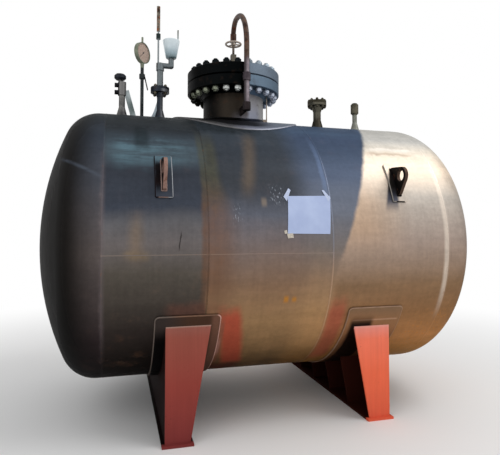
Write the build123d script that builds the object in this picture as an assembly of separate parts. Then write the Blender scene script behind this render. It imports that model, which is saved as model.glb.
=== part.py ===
from build123d import *
import math
import os

# Horizontal pressure tank on two saddles. Millimetres, +Z up, X along the tank, front towards -Y.
# The origin is on the ground under the middle of the tank.

# Shell and dished heads
SHELL_RADIUS = 1000.0
SHELL_WALL = 12.0
GROUND_CLEARANCE = 250.0
HEAD_SEAM_X = 1190.0
LEFT_GIRTH_X = -553.0
RIGHT_GIRTH_X = 290.0
HEAD_STRAIGHT_FLANGE = 40.0
HEAD_KNUCKLE_RADIUS = 250.0
HEAD_CROWN_RADIUS = 2000.0
WELD_FIT = 0.3

# Manway in the middle course
MANWAY_X = -160.0
MANWAY_NECK_RADIUS = 254.0
MANWAY_NECK_WALL = 14.0
MANWAY_INSIDE_PROJECTION = 25.0
MANWAY_PAD_WIDTH = 276.0
MANWAY_PAD_THICKNESS = 12.0
MANWAY_FLANGE_THICKNESS = 86.0
MANWAY_FLANGE_RISE = 236.0
MANWAY_HUB_HEIGHT = 32.0
MANWAY_HUB_FLARE = 30.0
MANWAY_EDGE_CHAMFER = 4.0
RAISED_FACE_PAST_NECK = 38.0
RAISED_FACE_HEIGHT = 2.0
GASKET_THICKNESS = 2.0
STUD_COUNT = 24
STUD_CIRCLE_PAST_NECK = 89.0
FLANGE_RIM_PAST_STUDS = 44.5
STUD_RADIUS = 16.0
STUD_HOLE_CLEARANCE = 2.0
STUD_END = 10.0
NUT_ACROSS_FLATS = 50.0
NUT_HEIGHT = 31.0

# Cover lifting davit
DAVIT_BAR_RADIUS = 21.0
DAVIT_POST_CLEARANCE = 22.0
DAVIT_CROWN_RISE = 456.0
DAVIT_END_BEND = 100.0
DAVIT_FOOT_RISE = 18.0
DAVIT_SOCKET_CLEARANCE = 1.5
DAVIT_SOCKET_WALL = 8.0
DAVIT_SOCKET_HEIGHT = 62.0
DAVIT_SOCKET_FLOOR = 8.0
DAVIT_GUIDE_HEIGHT = 60.0
DAVIT_BRACKET_THICKNESS = 16.0
DAVIT_SLEEVE_RADIUS = 26.0
DAVIT_SLEEVE_HEIGHT = 74.0
DAVIT_SLEEVE_LAP = 14.0
SCREW_RADIUS = 10.0
SCREW_CLEARANCE = 0.6
SCREW_DEPTH = 40.0
SCREW_END_CLEARANCE = 5.0
WHEEL_RADIUS = 64.0
WHEEL_RIM_RADIUS = 8.0
WHEEL_SPOKES = 3
WHEEL_SPOKE_RADIUS = 6.0
WHEEL_HUB_RADIUS = 20.0
WHEEL_HUB_HEIGHT = 22.0
WHEEL_DROP = 2.0
COVER_LUG_THICKNESS = 20.0
COVER_LUG_HALF_BASE = 60.0
COVER_LUG_EYE_RISE = 130.0
COVER_LUG_TIP_RADIUS = 32.0
COVER_LUG_PIN_RADIUS = 12.0
COVER_LUG_PIN_CLEARANCE = 1.0
FORK_CHEEK_THICKNESS = 9.0
FORK_SIDE_CLEARANCE = 1.0
FORK_RADIUS = 22.0
FORK_RISE = 46.0
FORK_BRIDGE = 14.0

# Thin rod that hangs beside the manway neck
SIDE_ROD_RADIUS = 5.0
SIDE_ROD_NECK_GAP = 30.0
SIDE_ROD_TURN = -15.0
SIDE_ROD_CLIP_HEIGHT = 22.0
SIDE_ROD_CLIP_WIDTH = 18.0
SIDE_ROD_CLIP_RISE = 22.0

# Saddles
SADDLE_FROM_SEAM = 387.0
SADDLE_PLATE = 12.0
SADDLE_WEAR_THICKNESS = 12.0
SADDLE_WEAR_OVERHANG = 65.0
SADDLE_WEAR_WIDTH = 410.0
SADDLE_WEAR_PAST_RIBS = 4.0
SADDLE_WEAR_CORNER = 24.0
SADDLE_LEFT_HALF_CONTACT = 60.0
SADDLE_RIGHT_HALF_CONTACT = 54.9
SADDLE_RIB_FLARE = 10.1
SADDLE_RIB_BOTTOM_WIDTH = 160.0
SADDLE_INNER_RIBS = 4
SADDLE_BASE_THICKNESS = 16.0
SADDLE_BASE_OVERHANG = 20.0
SADDLE_BASE_WIDTH = 200.0
ANCHOR_HOLE_RADIUS = 14.0
ANCHOR_FROM_END = 190.0

# Lifting lugs
LUG_FROM_SEAM = 365.0
LUG_TURN = 63.6
LUG_THICKNESS = 24.0
LUG_HALF_BASE = 110.0
LUG_EYE_RISE = 84.0
LUG_TIP_RADIUS = 62.0
LUG_EYE_RADIUS = 40.0
LUG_PAD_WIDTH = 102.0
LUG_PAD_LENGTH = 302.0
LUG_PAD_THICKNESS = 12.0

# Flanged nozzle on the right course
NOZZLE_FROM_SEAM = 578.0
NOZZLE_RADIUS = 34.0
NOZZLE_WALL = 8.0
NOZZLE_RISE = 212.0
NOZZLE_FLANGE_THICKNESS = 22.0
NOZZLE_HUB_FLARE = 17.0
NOZZLE_HUB_HEIGHT = 56.0
NOZZLE_GASKET = 2.0
NOZZLE_BOLTS = 8
NOZZLE_BOLTS_PAST_PIPE = 33.0
NOZZLE_RIM_PAST_BOLTS = 17.0
NOZZLE_BOLT_RADIUS = 8.0
NOZZLE_BOLT_CLEARANCE = 1.0
NOZZLE_NUT_FLATS = 24.0
NOZZLE_NUT_HEIGHT = 14.0
NOZZLE_BOLT_END = 5.0
NOZZLE_INSIDE = 20.0
FILLET_WELD = 16.0
BRANCH_FLARE = 23.0
BRANCH_RISE = 88.0

# Capped coupling near the right head
COUPLING_FROM_SEAM = 205.0
COUPLING_RADIUS = 21.0
COUPLING_RISE = 168.0
COUPLING_CAP_RADIUS = 35.0
COUPLING_CAP_HEIGHT = 108.0
COUPLING_CAP_OVERLAP = 10.0
COUPLING_CAP_CHAMFER = 14.0

# Angle valve near the left head, with its brace
VALVE_FROM_SEAM = 112.0
VALVE_STUB_RADIUS = 24.0
VALVE_STUB_RISE = 182.0
VALVE_BODY_RADIUS = 32.0
VALVE_BODY_HEIGHT = 108.0
VALVE_BOSS_RADIUS = 18.0
VALVE_BOSS_LENGTH = 58.0
VALVE_BOSS_RISES = (24.0, 82.0)
VALVE_SPINDLE_RADIUS = 12.0
VALVE_SPINDLE_HEIGHT = 18.0
VALVE_SPINDLE_OFFSET = -15.0
VALVE_WHEEL_RADIUS = 46.0
VALVE_WHEEL_HEIGHT = 44.0
VALVE_WHEEL_EDGE = 12.0
BRACE_REACH = 98.0
BRACE_WIDTH = 42.0
BRACE_THICKNESS = 8.0
BRACE_TOP_RISE = 225.0

# Pressure gauge on a stand pipe
GAUGE_FROM_SEAM = 268.0
GAUGE_PIPE_RADIUS = 13.5
GAUGE_PIPE_WALL = 4.0
GAUGE_PIPE_RISE = 420.0
GAUGE_CASE_RADIUS = 85.0
GAUGE_CASE_DEPTH = 32.0
GAUGE_TURN = 50.0
GAUGE_SOCKET_RADIUS = 16.0
GAUGE_SOCKET_HEIGHT = 38.0
GAUGE_BEZEL = 7.0
GAUGE_BEZEL_DEPTH = 6.0
GAUGE_VENT_RADIUS = 8.0
GAUGE_VENT_HEIGHT = 46.0
GAUGE_COCK_RISE = 330.0
GAUGE_COCK_RADIUS = 20.0
GAUGE_COCK_HEIGHT = 40.0
GAUGE_LEVER_LENGTH = 110.0
GAUGE_LEVER_THICKNESS = 8.0
GAUGE_LEVER_WIDTH = 16.0
GAUGE_LEVER_TURN = 13.0

# Relief valve on a flanged nozzle
RELIEF_FROM_SEAM = 412.0
RELIEF_PIPE_RADIUS = 24.0
RELIEF_RISE = 224.0
RELIEF_HUB_HEIGHT = 38.0
RELIEF_HUB_FLARE = 14.0
RELIEF_FLANGE_THICKNESS = 22.0
RELIEF_BOLTS = 4
RELIEF_BOLTS_PAST_PIPE = 32.0
RELIEF_RIM_PAST_BOLTS = 19.0
RELIEF_BODY_RADIUS = 25.0
RELIEF_BODY_RISE = 470.0
RELIEF_BONNET_RADIUS = 32.0
RELIEF_BONNET_HEIGHT = 60.0
RELIEF_OUTLET_OFFSET = 89.0
RELIEF_OUTLET_RADIUS = 22.0
RELIEF_OUTLET_DROP = 15.0
RELIEF_RISER = 85.0
OUTLET_CAP_RADIUS = 70.0
OUTLET_CAP_FOOT_RADIUS = 42.0
OUTLET_CAP_ROUNDING = 14.0
OUTLET_CAP_EDGE = 5.0
OUTLET_CAP_OVERLAP = 22.0
OUTLET_CAP_HEIGHT = 152.0
OUTLET_TAB_WIDTH = 26.0
OUTLET_TAB_THICKNESS = 10.0
OUTLET_TAB_HEIGHT = 92.0
LEVEL_ROD_OFFSET = -16.0
LEVEL_ROD_RADIUS = 7.0
LEVEL_ROD_LENGTH = 475.0
LEVEL_ROD_SLEEVE_RADIUS = 14.0
LEVEL_ROD_SLEEVE_LENGTH = 207.0
LEVEL_ROD_KNOB_RADIUS = 18.0
LEVEL_ROD_KNOB_RISE = 202.0
LEVEL_ROD_KNOB_HEIGHT = 44.0

# Places along the tank, measured in from the head seams
SADDLE_WEB_X = HEAD_SEAM_X - SADDLE_FROM_SEAM
SADDLE_WEAR_OUTER_X = SADDLE_WEB_X + SADDLE_WEAR_OVERHANG
LUG_X = HEAD_SEAM_X - LUG_FROM_SEAM
NOZZLE_X = HEAD_SEAM_X - NOZZLE_FROM_SEAM
COUPLING_X = HEAD_SEAM_X - COUPLING_FROM_SEAM
VALVE_X = VALVE_FROM_SEAM - HEAD_SEAM_X
BRACE_FOOT_X = VALVE_X + BRACE_REACH
GAUGE_X = GAUGE_FROM_SEAM - HEAD_SEAM_X
RELIEF_X = RELIEF_FROM_SEAM - HEAD_SEAM_X

# Radii that follow from the pipe or shell that carries the piece
NECK_BORE = MANWAY_NECK_RADIUS - MANWAY_NECK_WALL
MANWAY_PAD_RADIUS = MANWAY_NECK_RADIUS + MANWAY_PAD_WIDTH
MANWAY_HUB_RADIUS = MANWAY_NECK_RADIUS + MANWAY_HUB_FLARE
RAISED_FACE_RADIUS = MANWAY_NECK_RADIUS + RAISED_FACE_PAST_NECK
STUD_CIRCLE_RADIUS = MANWAY_NECK_RADIUS + STUD_CIRCLE_PAST_NECK
MANWAY_FLANGE_RADIUS = STUD_CIRCLE_RADIUS + FLANGE_RIM_PAST_STUDS
DAVIT_SOCKET_BORE = DAVIT_BAR_RADIUS + DAVIT_SOCKET_CLEARANCE
DAVIT_SOCKET_RADIUS = DAVIT_SOCKET_BORE + DAVIT_SOCKET_WALL
DAVIT_REACH = MANWAY_FLANGE_RADIUS + DAVIT_POST_CLEARANCE + DAVIT_SOCKET_RADIUS
DAVIT_Y = -DAVIT_REACH
NOZZLE_BOLT_CIRCLE = NOZZLE_RADIUS + NOZZLE_BOLTS_PAST_PIPE
NOZZLE_FLANGE_RADIUS = NOZZLE_BOLT_CIRCLE + NOZZLE_RIM_PAST_BOLTS
RELIEF_BOLT_CIRCLE = RELIEF_PIPE_RADIUS + RELIEF_BOLTS_PAST_PIPE
RELIEF_FLANGE_RADIUS = RELIEF_BOLT_CIRCLE + RELIEF_RIM_PAST_BOLTS
WEAR_RADIUS = SHELL_RADIUS + SADDLE_WEAR_THICKNESS
SADDLE_BASE_MIDDLE_X = SADDLE_WEB_X + SADDLE_BASE_OVERHANG - SADDLE_BASE_WIDTH / 2

# Heights above the ground that several pieces share
AXIS_HEIGHT = SHELL_RADIUS + GROUND_CLEARANCE
SHELL_TOP = AXIS_HEIGHT + SHELL_RADIUS
CUT_BOTTOM = SHELL_TOP - SHELL_RADIUS / 2
FLANGE_BOTTOM = SHELL_TOP + MANWAY_FLANGE_RISE
FLANGE_TOP = FLANGE_BOTTOM + MANWAY_FLANGE_THICKNESS
COVER_BOTTOM = FLANGE_TOP + 2 * RAISED_FACE_HEIGHT + GASKET_THICKNESS
COVER_TOP = COVER_BOTTOM + MANWAY_FLANGE_THICKNESS
DAVIT_FOOT_BOTTOM = SHELL_TOP + DAVIT_FOOT_RISE
DAVIT_CROWN_Z = COVER_TOP + DAVIT_CROWN_RISE
DAVIT_SPRING_Z = DAVIT_CROWN_Z + DAVIT_END_BEND - DAVIT_REACH
DAVIT_END_Z = DAVIT_CROWN_Z - DAVIT_END_BEND
SLEEVE_LOW = DAVIT_END_Z + DAVIT_SLEEVE_LAP - DAVIT_SLEEVE_HEIGHT
LUG_EYE_Z = COVER_TOP + COVER_LUG_EYE_RISE
NOZZLE_JOINT = SHELL_TOP + NOZZLE_RISE
RELIEF_JOINT = SHELL_TOP + RELIEF_RISE
RELIEF_TOP = SHELL_TOP + RELIEF_BODY_RISE
RELIEF_OUTLET_X = RELIEF_X + RELIEF_OUTLET_OFFSET
RELIEF_OUTLET_Z = RELIEF_TOP - RELIEF_OUTLET_DROP
RELIEF_RISER_TOP = RELIEF_OUTLET_Z + RELIEF_RISER
GAUGE_PIPE_TOP = SHELL_TOP + GAUGE_PIPE_RISE
GAUGE_CENTRE = GAUGE_PIPE_TOP + GAUGE_SOCKET_HEIGHT + GAUGE_CASE_RADIUS


def upright(radius, bottom, top, x=0.0, y=0.0):
    """A vertical cylinder between two heights."""
    return Pos(x, y, (bottom + top) / 2) * Cylinder(radius, top - bottom)


def wedge(half_angle):
    """Triangle that opens upwards from the centre and reaches past the shell."""
    far = 2 * SHELL_RADIUS
    reach = far * math.tan(math.radians(half_angle))
    return make_face(Polyline((0, 0), (reach, far), (-reach, far), close=True))


def along_tank(radius, start, end):
    """A solid cylinder on the tank's axis between two stations."""
    middle = Pos((start + end) / 2, 0, AXIS_HEIGHT)
    return middle * Rot(0, 90, 0) * Cylinder(radius, end - start)


def turned(points, x=0.0, y=0.0):
    """A solid of revolution about a vertical axis, from (radius, height) points."""
    face = make_face(Plane.XZ * Polyline(*points, close=True))
    return Pos(x, y, 0) * revolve(face, Axis.Z)


def hexagon_nut(flats, bottom, top, x, y, turn=0.0):
    """A hexagon nut blank between two heights."""
    blank = RegularPolygon(flats / 2, 6, major_radius=False)
    return Pos(x, y, bottom) * Rot(0, 0, turn) * extrude(blank, top - bottom)


def on_circle(radius, count, x, y, first=0.0):
    """Evenly spaced centres on a circle, with the angle of each."""
    angles = [first + 360 * i / count for i in range(count)]
    return [
        (x + radius * math.cos(math.radians(a)), y + radius * math.sin(math.radians(a)), a)
        for a in angles
    ]


def as_one(solids):
    """Joins touching solids into one."""
    result = solids[0]
    for solid in solids[1:]:
        result = result + solid
    return result


def apart(solids):
    """Keeps solids that don't touch together as one sub-part."""
    return Compound(children=[s.solid() for s in solids])


def at_end(shape, end):
    """The piece itself on the right, or its mirror image on the left."""
    return shape if end == "right" else mirror(shape, Plane.YZ)


# Shell courses and heads

def nozzle_holes():
    """Through holes in the shell for the manway and the small nozzles."""
    holes = {MANWAY_X: MANWAY_NECK_RADIUS, NOZZLE_X: NOZZLE_RADIUS, COUPLING_X: COUPLING_RADIUS,
             VALVE_X: VALVE_STUB_RADIUS, GAUGE_X: GAUGE_PIPE_RADIUS, RELIEF_X: RELIEF_PIPE_RADIUS}
    return {x: upright(r + WELD_FIT, CUT_BOTTOM, SHELL_TOP + SHELL_WALL, x) for x, r in holes.items()}


def shell_course(start, end):
    course = along_tank(SHELL_RADIUS, start, end) - along_tank(SHELL_RADIUS - SHELL_WALL, start, end)
    for x, hole in nozzle_holes().items():
        if start < x < end:
            course = course - hole
    return course


def dished_head():
    """Torispherical head: straight flange, knuckle arc and crown arc, of one wall thickness."""
    knuckle_x = HEAD_SEAM_X + HEAD_STRAIGHT_FLANGE
    knuckle_r = SHELL_RADIUS - HEAD_KNUCKLE_RADIUS
    reach = math.sqrt((HEAD_CROWN_RADIUS - HEAD_KNUCKLE_RADIUS) ** 2 - knuckle_r ** 2)
    crown_x = knuckle_x - reach
    slope = math.atan2(knuckle_r, reach)

    def profile(wall):
        shoulder = HEAD_KNUCKLE_RADIUS - wall
        crown = HEAD_CROWN_RADIUS - wall
        rim = (HEAD_SEAM_X, 0, SHELL_RADIUS - wall)
        start = (knuckle_x, 0, SHELL_RADIUS - wall)
        half = (slope + math.pi / 2) / 2
        bend = (knuckle_x + shoulder * math.cos(half), 0, knuckle_r + shoulder * math.sin(half))
        join = (crown_x + crown * math.cos(slope), 0, crown * math.sin(slope))
        brow = (crown_x + crown * math.cos(slope / 2), 0, crown * math.sin(slope / 2))
        apex = (crown_x + crown, 0, 0)
        return rim, start, bend, join, brow, apex

    outer = profile(0.0)
    inner = profile(SHELL_WALL)
    edges = []
    for rim, start, bend, join, brow, apex in (outer, inner):
        edges += [Line(rim, start), ThreePointArc(start, bend, join), ThreePointArc(join, brow, apex)]
    edges += [Line(outer[0], inner[0]), Line(outer[-1], inner[-1])]
    wall = make_face(Wire(edges))
    return Pos(0, 0, AXIS_HEIGHT) * revolve(wall, Axis.X)


# Manway

def manway_pad():
    pad = along_tank(SHELL_RADIUS + MANWAY_PAD_THICKNESS, MANWAY_X - MANWAY_PAD_RADIUS,
                     MANWAY_X + MANWAY_PAD_RADIUS)
    pad = pad - along_tank(SHELL_RADIUS, MANWAY_X - MANWAY_PAD_RADIUS, MANWAY_X + MANWAY_PAD_RADIUS)
    top = SHELL_TOP + 2 * MANWAY_PAD_THICKNESS
    pad = pad & upright(MANWAY_PAD_RADIUS, AXIS_HEIGHT, top, MANWAY_X)
    return pad - upright(MANWAY_NECK_RADIUS + WELD_FIT, AXIS_HEIGHT, top, MANWAY_X)


def manway_neck():
    """The neck pipe runs through the shell and ends on a line that follows the inside."""
    top = FLANGE_BOTTOM - MANWAY_HUB_HEIGHT
    neck = upright(MANWAY_NECK_RADIUS, AXIS_HEIGHT, top, MANWAY_X)
    neck = neck - upright(NECK_BORE, AXIS_HEIGHT, top, MANWAY_X)
    inside = SHELL_RADIUS - SHELL_WALL - MANWAY_INSIDE_PROJECTION
    return neck - along_tank(inside, MANWAY_X - MANWAY_PAD_RADIUS, MANWAY_X + MANWAY_PAD_RADIUS)


def stud_holes(bottom, top):
    return [
        upright(STUD_RADIUS + STUD_HOLE_CLEARANCE, bottom, top, x, y)
        for x, y, _ in on_circle(STUD_CIRCLE_RADIUS, STUD_COUNT, MANWAY_X, 0, 180 / STUD_COUNT)
    ]


def manway_flange():
    rim = MANWAY_FLANGE_RADIUS
    face = FLANGE_TOP + RAISED_FACE_HEIGHT
    cut = MANWAY_EDGE_CHAMFER
    ring = turned([
        (NECK_BORE, FLANGE_BOTTOM - MANWAY_HUB_HEIGHT),
        (MANWAY_NECK_RADIUS, FLANGE_BOTTOM - MANWAY_HUB_HEIGHT),
        (MANWAY_HUB_RADIUS, FLANGE_BOTTOM),
        (rim - cut, FLANGE_BOTTOM),
        (rim, FLANGE_BOTTOM + cut),
        (rim, FLANGE_TOP - cut),
        (rim - cut, FLANGE_TOP),
        (RAISED_FACE_RADIUS, FLANGE_TOP),
        (RAISED_FACE_RADIUS, face),
        (NECK_BORE, face),
    ], MANWAY_X)
    return ring - stud_holes(FLANGE_BOTTOM, FLANGE_TOP)


def manway_gasket():
    low = FLANGE_TOP + RAISED_FACE_HEIGHT
    high = low + GASKET_THICKNESS
    return upright(RAISED_FACE_RADIUS, low, high, MANWAY_X) - upright(NECK_BORE, low, high, MANWAY_X)


def manway_cover():
    rim = MANWAY_FLANGE_RADIUS
    cut = MANWAY_EDGE_CHAMFER
    disc = turned([
        (0, COVER_BOTTOM - RAISED_FACE_HEIGHT),
        (RAISED_FACE_RADIUS, COVER_BOTTOM - RAISED_FACE_HEIGHT),
        (RAISED_FACE_RADIUS, COVER_BOTTOM),
        (rim - cut, COVER_BOTTOM),
        (rim, COVER_BOTTOM + cut),
        (rim, COVER_TOP - cut),
        (rim - cut, COVER_TOP),
        (0, COVER_TOP),
    ], MANWAY_X)
    return disc - stud_holes(COVER_BOTTOM, COVER_TOP)


def manway_studs():
    """Studs with a heavy hexagon nut on each end."""
    solids = []
    for x, y, turn in on_circle(STUD_CIRCLE_RADIUS, STUD_COUNT, MANWAY_X, 0, 180 / STUD_COUNT):
        bottom = FLANGE_BOTTOM - NUT_HEIGHT - STUD_END
        top = COVER_TOP + NUT_HEIGHT + STUD_END
        stud = upright(STUD_RADIUS, bottom, top, x, y)
        lower = hexagon_nut(NUT_ACROSS_FLATS, FLANGE_BOTTOM - NUT_HEIGHT, FLANGE_BOTTOM, x, y, turn)
        upper = hexagon_nut(NUT_ACROSS_FLATS, COVER_TOP, COVER_TOP + NUT_HEIGHT, x, y, turn)
        solids.append(as_one([stud, lower, upper]))
    return apart(solids)


def cover_lug():
    """Eye plate on the middle of the cover, square to the davit's swing."""
    tip = Pos(0, LUG_EYE_Z) * Circle(COVER_LUG_TIP_RADIUS)
    foot = Pos(0, COVER_TOP + COVER_LUG_THICKNESS / 2) * Rectangle(2 * COVER_LUG_HALF_BASE,
                                                                  COVER_LUG_THICKNESS)
    outline = make_hull(tip.edges() + foot.edges())
    outline = outline - Pos(0, LUG_EYE_Z) * Circle(COVER_LUG_PIN_RADIUS + COVER_LUG_PIN_CLEARANCE)
    return Pos(MANWAY_X, 0, 0) * extrude(Plane.XZ * outline, COVER_LUG_THICKNESS / 2, both=True)


# Davit

def davit_socket(bottom, height):
    return upright(DAVIT_SOCKET_RADIUS, bottom, bottom + height, MANWAY_X, DAVIT_Y)


def davit_bore(bottom, top):
    return upright(DAVIT_SOCKET_BORE, bottom, top, MANWAY_X, DAVIT_Y)


def davit_plate(inner_radius, bottom, height):
    """Upright plate from a round piece of the manway out to the davit's socket."""
    depth = DAVIT_REACH - inner_radius + MANWAY_NECK_WALL
    plate = Pos(MANWAY_X, DAVIT_Y + depth / 2, bottom + height / 2) * Box(
        DAVIT_BRACKET_THICKNESS, depth, height)
    return plate - upright(inner_radius, bottom, bottom + height, MANWAY_X)


def davit_foot_bracket():
    socket = davit_socket(DAVIT_FOOT_BOTTOM, DAVIT_SOCKET_HEIGHT)
    bracket = socket + davit_plate(MANWAY_NECK_RADIUS, DAVIT_FOOT_BOTTOM, DAVIT_SOCKET_HEIGHT)
    top = DAVIT_FOOT_BOTTOM + DAVIT_SOCKET_HEIGHT
    return bracket - davit_bore(DAVIT_FOOT_BOTTOM + DAVIT_SOCKET_FLOOR, top)


def davit_guide():
    bottom = FLANGE_BOTTOM + (MANWAY_FLANGE_THICKNESS - DAVIT_GUIDE_HEIGHT) / 2
    guide = davit_socket(bottom, DAVIT_GUIDE_HEIGHT)
    guide = guide + davit_plate(MANWAY_FLANGE_RADIUS, bottom, DAVIT_GUIDE_HEIGHT)
    return guide - davit_bore(bottom, bottom + DAVIT_GUIDE_HEIGHT)


def davit_arm():
    """Round bar that bends over the cover and comes down on its middle, with a sleeve for the screw."""
    foot = (MANWAY_X, DAVIT_Y, DAVIT_FOOT_BOTTOM + DAVIT_SOCKET_FLOOR)
    spring = (MANWAY_X, DAVIT_Y, DAVIT_SPRING_Z)
    crown = (MANWAY_X, -DAVIT_END_BEND, DAVIT_CROWN_Z)
    end = (MANWAY_X, 0, DAVIT_END_Z)
    path = Line(foot, spring) + TangentArc(spring, crown, tangent=(0, 0, 1))
    path = path + TangentArc(crown, end, tangent=(0, 1, 0))
    bar = sweep(Plane(origin=foot, z_dir=(0, 0, 1)) * Circle(DAVIT_BAR_RADIUS), path)
    arm = bar + upright(DAVIT_SLEEVE_RADIUS, SLEEVE_LOW, SLEEVE_LOW + DAVIT_SLEEVE_HEIGHT, MANWAY_X)
    bore_top = SLEEVE_LOW + SCREW_DEPTH + SCREW_END_CLEARANCE
    return arm - upright(SCREW_RADIUS + SCREW_CLEARANCE, SLEEVE_LOW, bore_top, MANWAY_X)


def davit_screw():
    """Screw with a hand wheel under the sleeve, and a fork that holds the cover's eye plate on a pin."""
    gap = COVER_LUG_THICKNESS / 2 + FORK_SIDE_CLEARANCE
    outer = gap + FORK_CHEEK_THICKNESS
    bridge_top = LUG_EYE_Z + FORK_RISE + FORK_BRIDGE
    cheek = Pos(0, LUG_EYE_Z) * Circle(FORK_RADIUS)
    cheek = cheek + Pos(0, (LUG_EYE_Z + bridge_top) / 2) * Rectangle(2 * FORK_RADIUS,
                                                                    bridge_top - LUG_EYE_Z)
    fork = extrude(Plane.XZ * cheek, outer, both=True)
    slot_height = FORK_RISE + FORK_RADIUS
    slot = Pos(0, 0, LUG_EYE_Z + FORK_RISE - slot_height / 2) * Box(2 * FORK_RADIUS, 2 * gap, slot_height)
    pin = Pos(0, 0, LUG_EYE_Z) * Rot(90, 0, 0) * Cylinder(COVER_LUG_PIN_RADIUS, 2 * outer)
    stem = upright(SCREW_RADIUS, bridge_top, SLEEVE_LOW + SCREW_DEPTH)
    hub_top = SLEEVE_LOW - WHEEL_DROP
    hub = upright(WHEEL_HUB_RADIUS, hub_top - WHEEL_HUB_HEIGHT, hub_top)
    middle = Pos(0, 0, hub_top - WHEEL_HUB_HEIGHT / 2)
    rim = middle * Torus(WHEEL_RADIUS, WHEEL_RIM_RADIUS)
    spokes = [
        middle * Rot(0, 0, turn) * Pos(WHEEL_RADIUS / 2, 0, 0) * Rot(0, 90, 0) * Cylinder(
            WHEEL_SPOKE_RADIUS, WHEEL_RADIUS)
        for _, _, turn in on_circle(WHEEL_RADIUS, WHEEL_SPOKES, 0, 0)
    ]
    return Pos(MANWAY_X, 0, 0) * as_one([fork - slot, pin, stem, hub, rim] + spokes)


def manway_side_rod():
    """Thin rod from the flange's underside down to a clip on the neck."""
    offset = MANWAY_NECK_RADIUS + SIDE_ROD_NECK_GAP
    low = SHELL_TOP + SIDE_ROD_CLIP_RISE
    rod = upright(SIDE_ROD_RADIUS, low, FLANGE_BOTTOM, offset)
    reach = SIDE_ROD_NECK_GAP + MANWAY_NECK_WALL + SIDE_ROD_RADIUS
    clip = Pos(offset + SIDE_ROD_RADIUS - reach / 2, 0, low + SIDE_ROD_CLIP_HEIGHT / 2) * Box(
        reach, SIDE_ROD_CLIP_WIDTH, SIDE_ROD_CLIP_HEIGHT)
    hub = turned([
        (0, FLANGE_BOTTOM - MANWAY_HUB_HEIGHT),
        (MANWAY_NECK_RADIUS, FLANGE_BOTTOM - MANWAY_HUB_HEIGHT),
        (MANWAY_HUB_RADIUS, FLANGE_BOTTOM),
        (0, FLANGE_BOTTOM),
    ])
    shape = rod + clip - upright(MANWAY_NECK_RADIUS, SHELL_TOP, FLANGE_BOTTOM) - hub
    return Pos(MANWAY_X, 0, 0) * Rot(0, 0, SIDE_ROD_TURN) * shape


# Saddles, drawn for the right-hand side. The contact is half the angle that a saddle's ribs span.

def wear_cylinder():
    return along_tank(WEAR_RADIUS, 0, HEAD_SEAM_X)


def half_span(contact):
    return WEAR_RADIUS * math.sin(math.radians(contact))


def half_length(contact):
    return half_span(contact) + SADDLE_BASE_OVERHANG


def saddle_wear_plate():
    start = SADDLE_WEAR_OUTER_X - SADDLE_WEAR_WIDTH
    widest = max(SADDLE_LEFT_HALF_CONTACT, SADDLE_RIGHT_HALF_CONTACT)
    lower = Rot(0, 0, 180) * wedge(widest + SADDLE_WEAR_PAST_RIBS)
    ring = (Circle(WEAR_RADIUS) - Circle(SHELL_RADIUS + WELD_FIT)) & lower
    band = Pos(0, 0, AXIS_HEIGHT) * extrude(Plane.YZ.offset(start) * ring, SADDLE_WEAR_WIDTH)
    corners = band.edges().filter_by(GeomType.LINE).sort_by(SortBy.LENGTH)[:4]
    return fillet(corners, SADDLE_WEAR_CORNER)


def saddle_web(contact):
    """Upright plate across the tank, flush with the outer edge of the ribs."""
    span = 2 * (half_span(contact) - SADDLE_PLATE)
    height = AXIS_HEIGHT - SADDLE_BASE_THICKNESS
    web = Pos(SADDLE_WEB_X - SADDLE_PLATE / 2, 0, SADDLE_BASE_THICKNESS + height / 2) * Box(
        SADDLE_PLATE, span, height)
    return (web - wear_cylinder()).solids().sort_by(Axis.Z)[0]


def saddle_rib(contact, front, inner_face):
    """A rib that widens upwards from the base plate to the wear plate."""
    low = SADDLE_BASE_THICKNESS
    top = AXIS_HEIGHT - WEAR_RADIUS * math.cos(math.radians(contact))
    bottom_x = SADDLE_WEB_X - SADDLE_RIB_BOTTOM_WIDTH
    top_x = bottom_x - (top - low) * math.tan(math.radians(SADDLE_RIB_FLARE))
    outline = Polyline((inner_face, low), (bottom_x, low), (top_x, top), (inner_face, top), close=True)
    rib = extrude(Plane.XZ.offset(-front) * make_face(outline), -SADDLE_PLATE)
    return (rib - wear_cylinder()).solids().sort_by(Axis.Z)[0]


def saddle_ribs(contact):
    """A rib closes each end, and the inner ribs divide the span between them into equal bays."""
    span = half_span(contact)
    pitch = (2 * span - SADDLE_PLATE) / (SADDLE_INNER_RIBS + 1)
    ribs = [saddle_rib(contact, y, SADDLE_WEB_X) for y in (-span, span - SADDLE_PLATE)]
    for i in range(SADDLE_INNER_RIBS):
        middle = (i - (SADDLE_INNER_RIBS - 1) / 2) * pitch
        ribs.append(saddle_rib(contact, middle - SADDLE_PLATE / 2, SADDLE_WEB_X - SADDLE_PLATE))
    return apart(ribs)


def saddle_base(contact):
    """Base plate with two anchor holes on its middle line, alike on both saddles."""
    plate = Pos(SADDLE_BASE_MIDDLE_X, 0, SADDLE_BASE_THICKNESS / 2) * Box(
        SADDLE_BASE_WIDTH, 2 * half_length(contact), SADDLE_BASE_THICKNESS)
    narrowest = min(SADDLE_LEFT_HALF_CONTACT, SADDLE_RIGHT_HALF_CONTACT)
    anchor = half_length(narrowest) - ANCHOR_FROM_END
    for y in (-anchor, anchor):
        plate = plate - upright(ANCHOR_HOLE_RADIUS, 0, SADDLE_BASE_THICKNESS, SADDLE_BASE_MIDDLE_X, y)
    return plate


# Lifting lugs, drawn upright at the top of the tank and turned to their place

def lug_pad():
    outer = SHELL_RADIUS + LUG_PAD_THICKNESS
    half = math.degrees(LUG_PAD_LENGTH / 2 / SHELL_RADIUS)
    sector = (Circle(outer) - Circle(SHELL_RADIUS)) & wedge(half)
    return extrude(Plane.YZ.offset(-LUG_PAD_WIDTH / 2) * sector, LUG_PAD_WIDTH)


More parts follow.
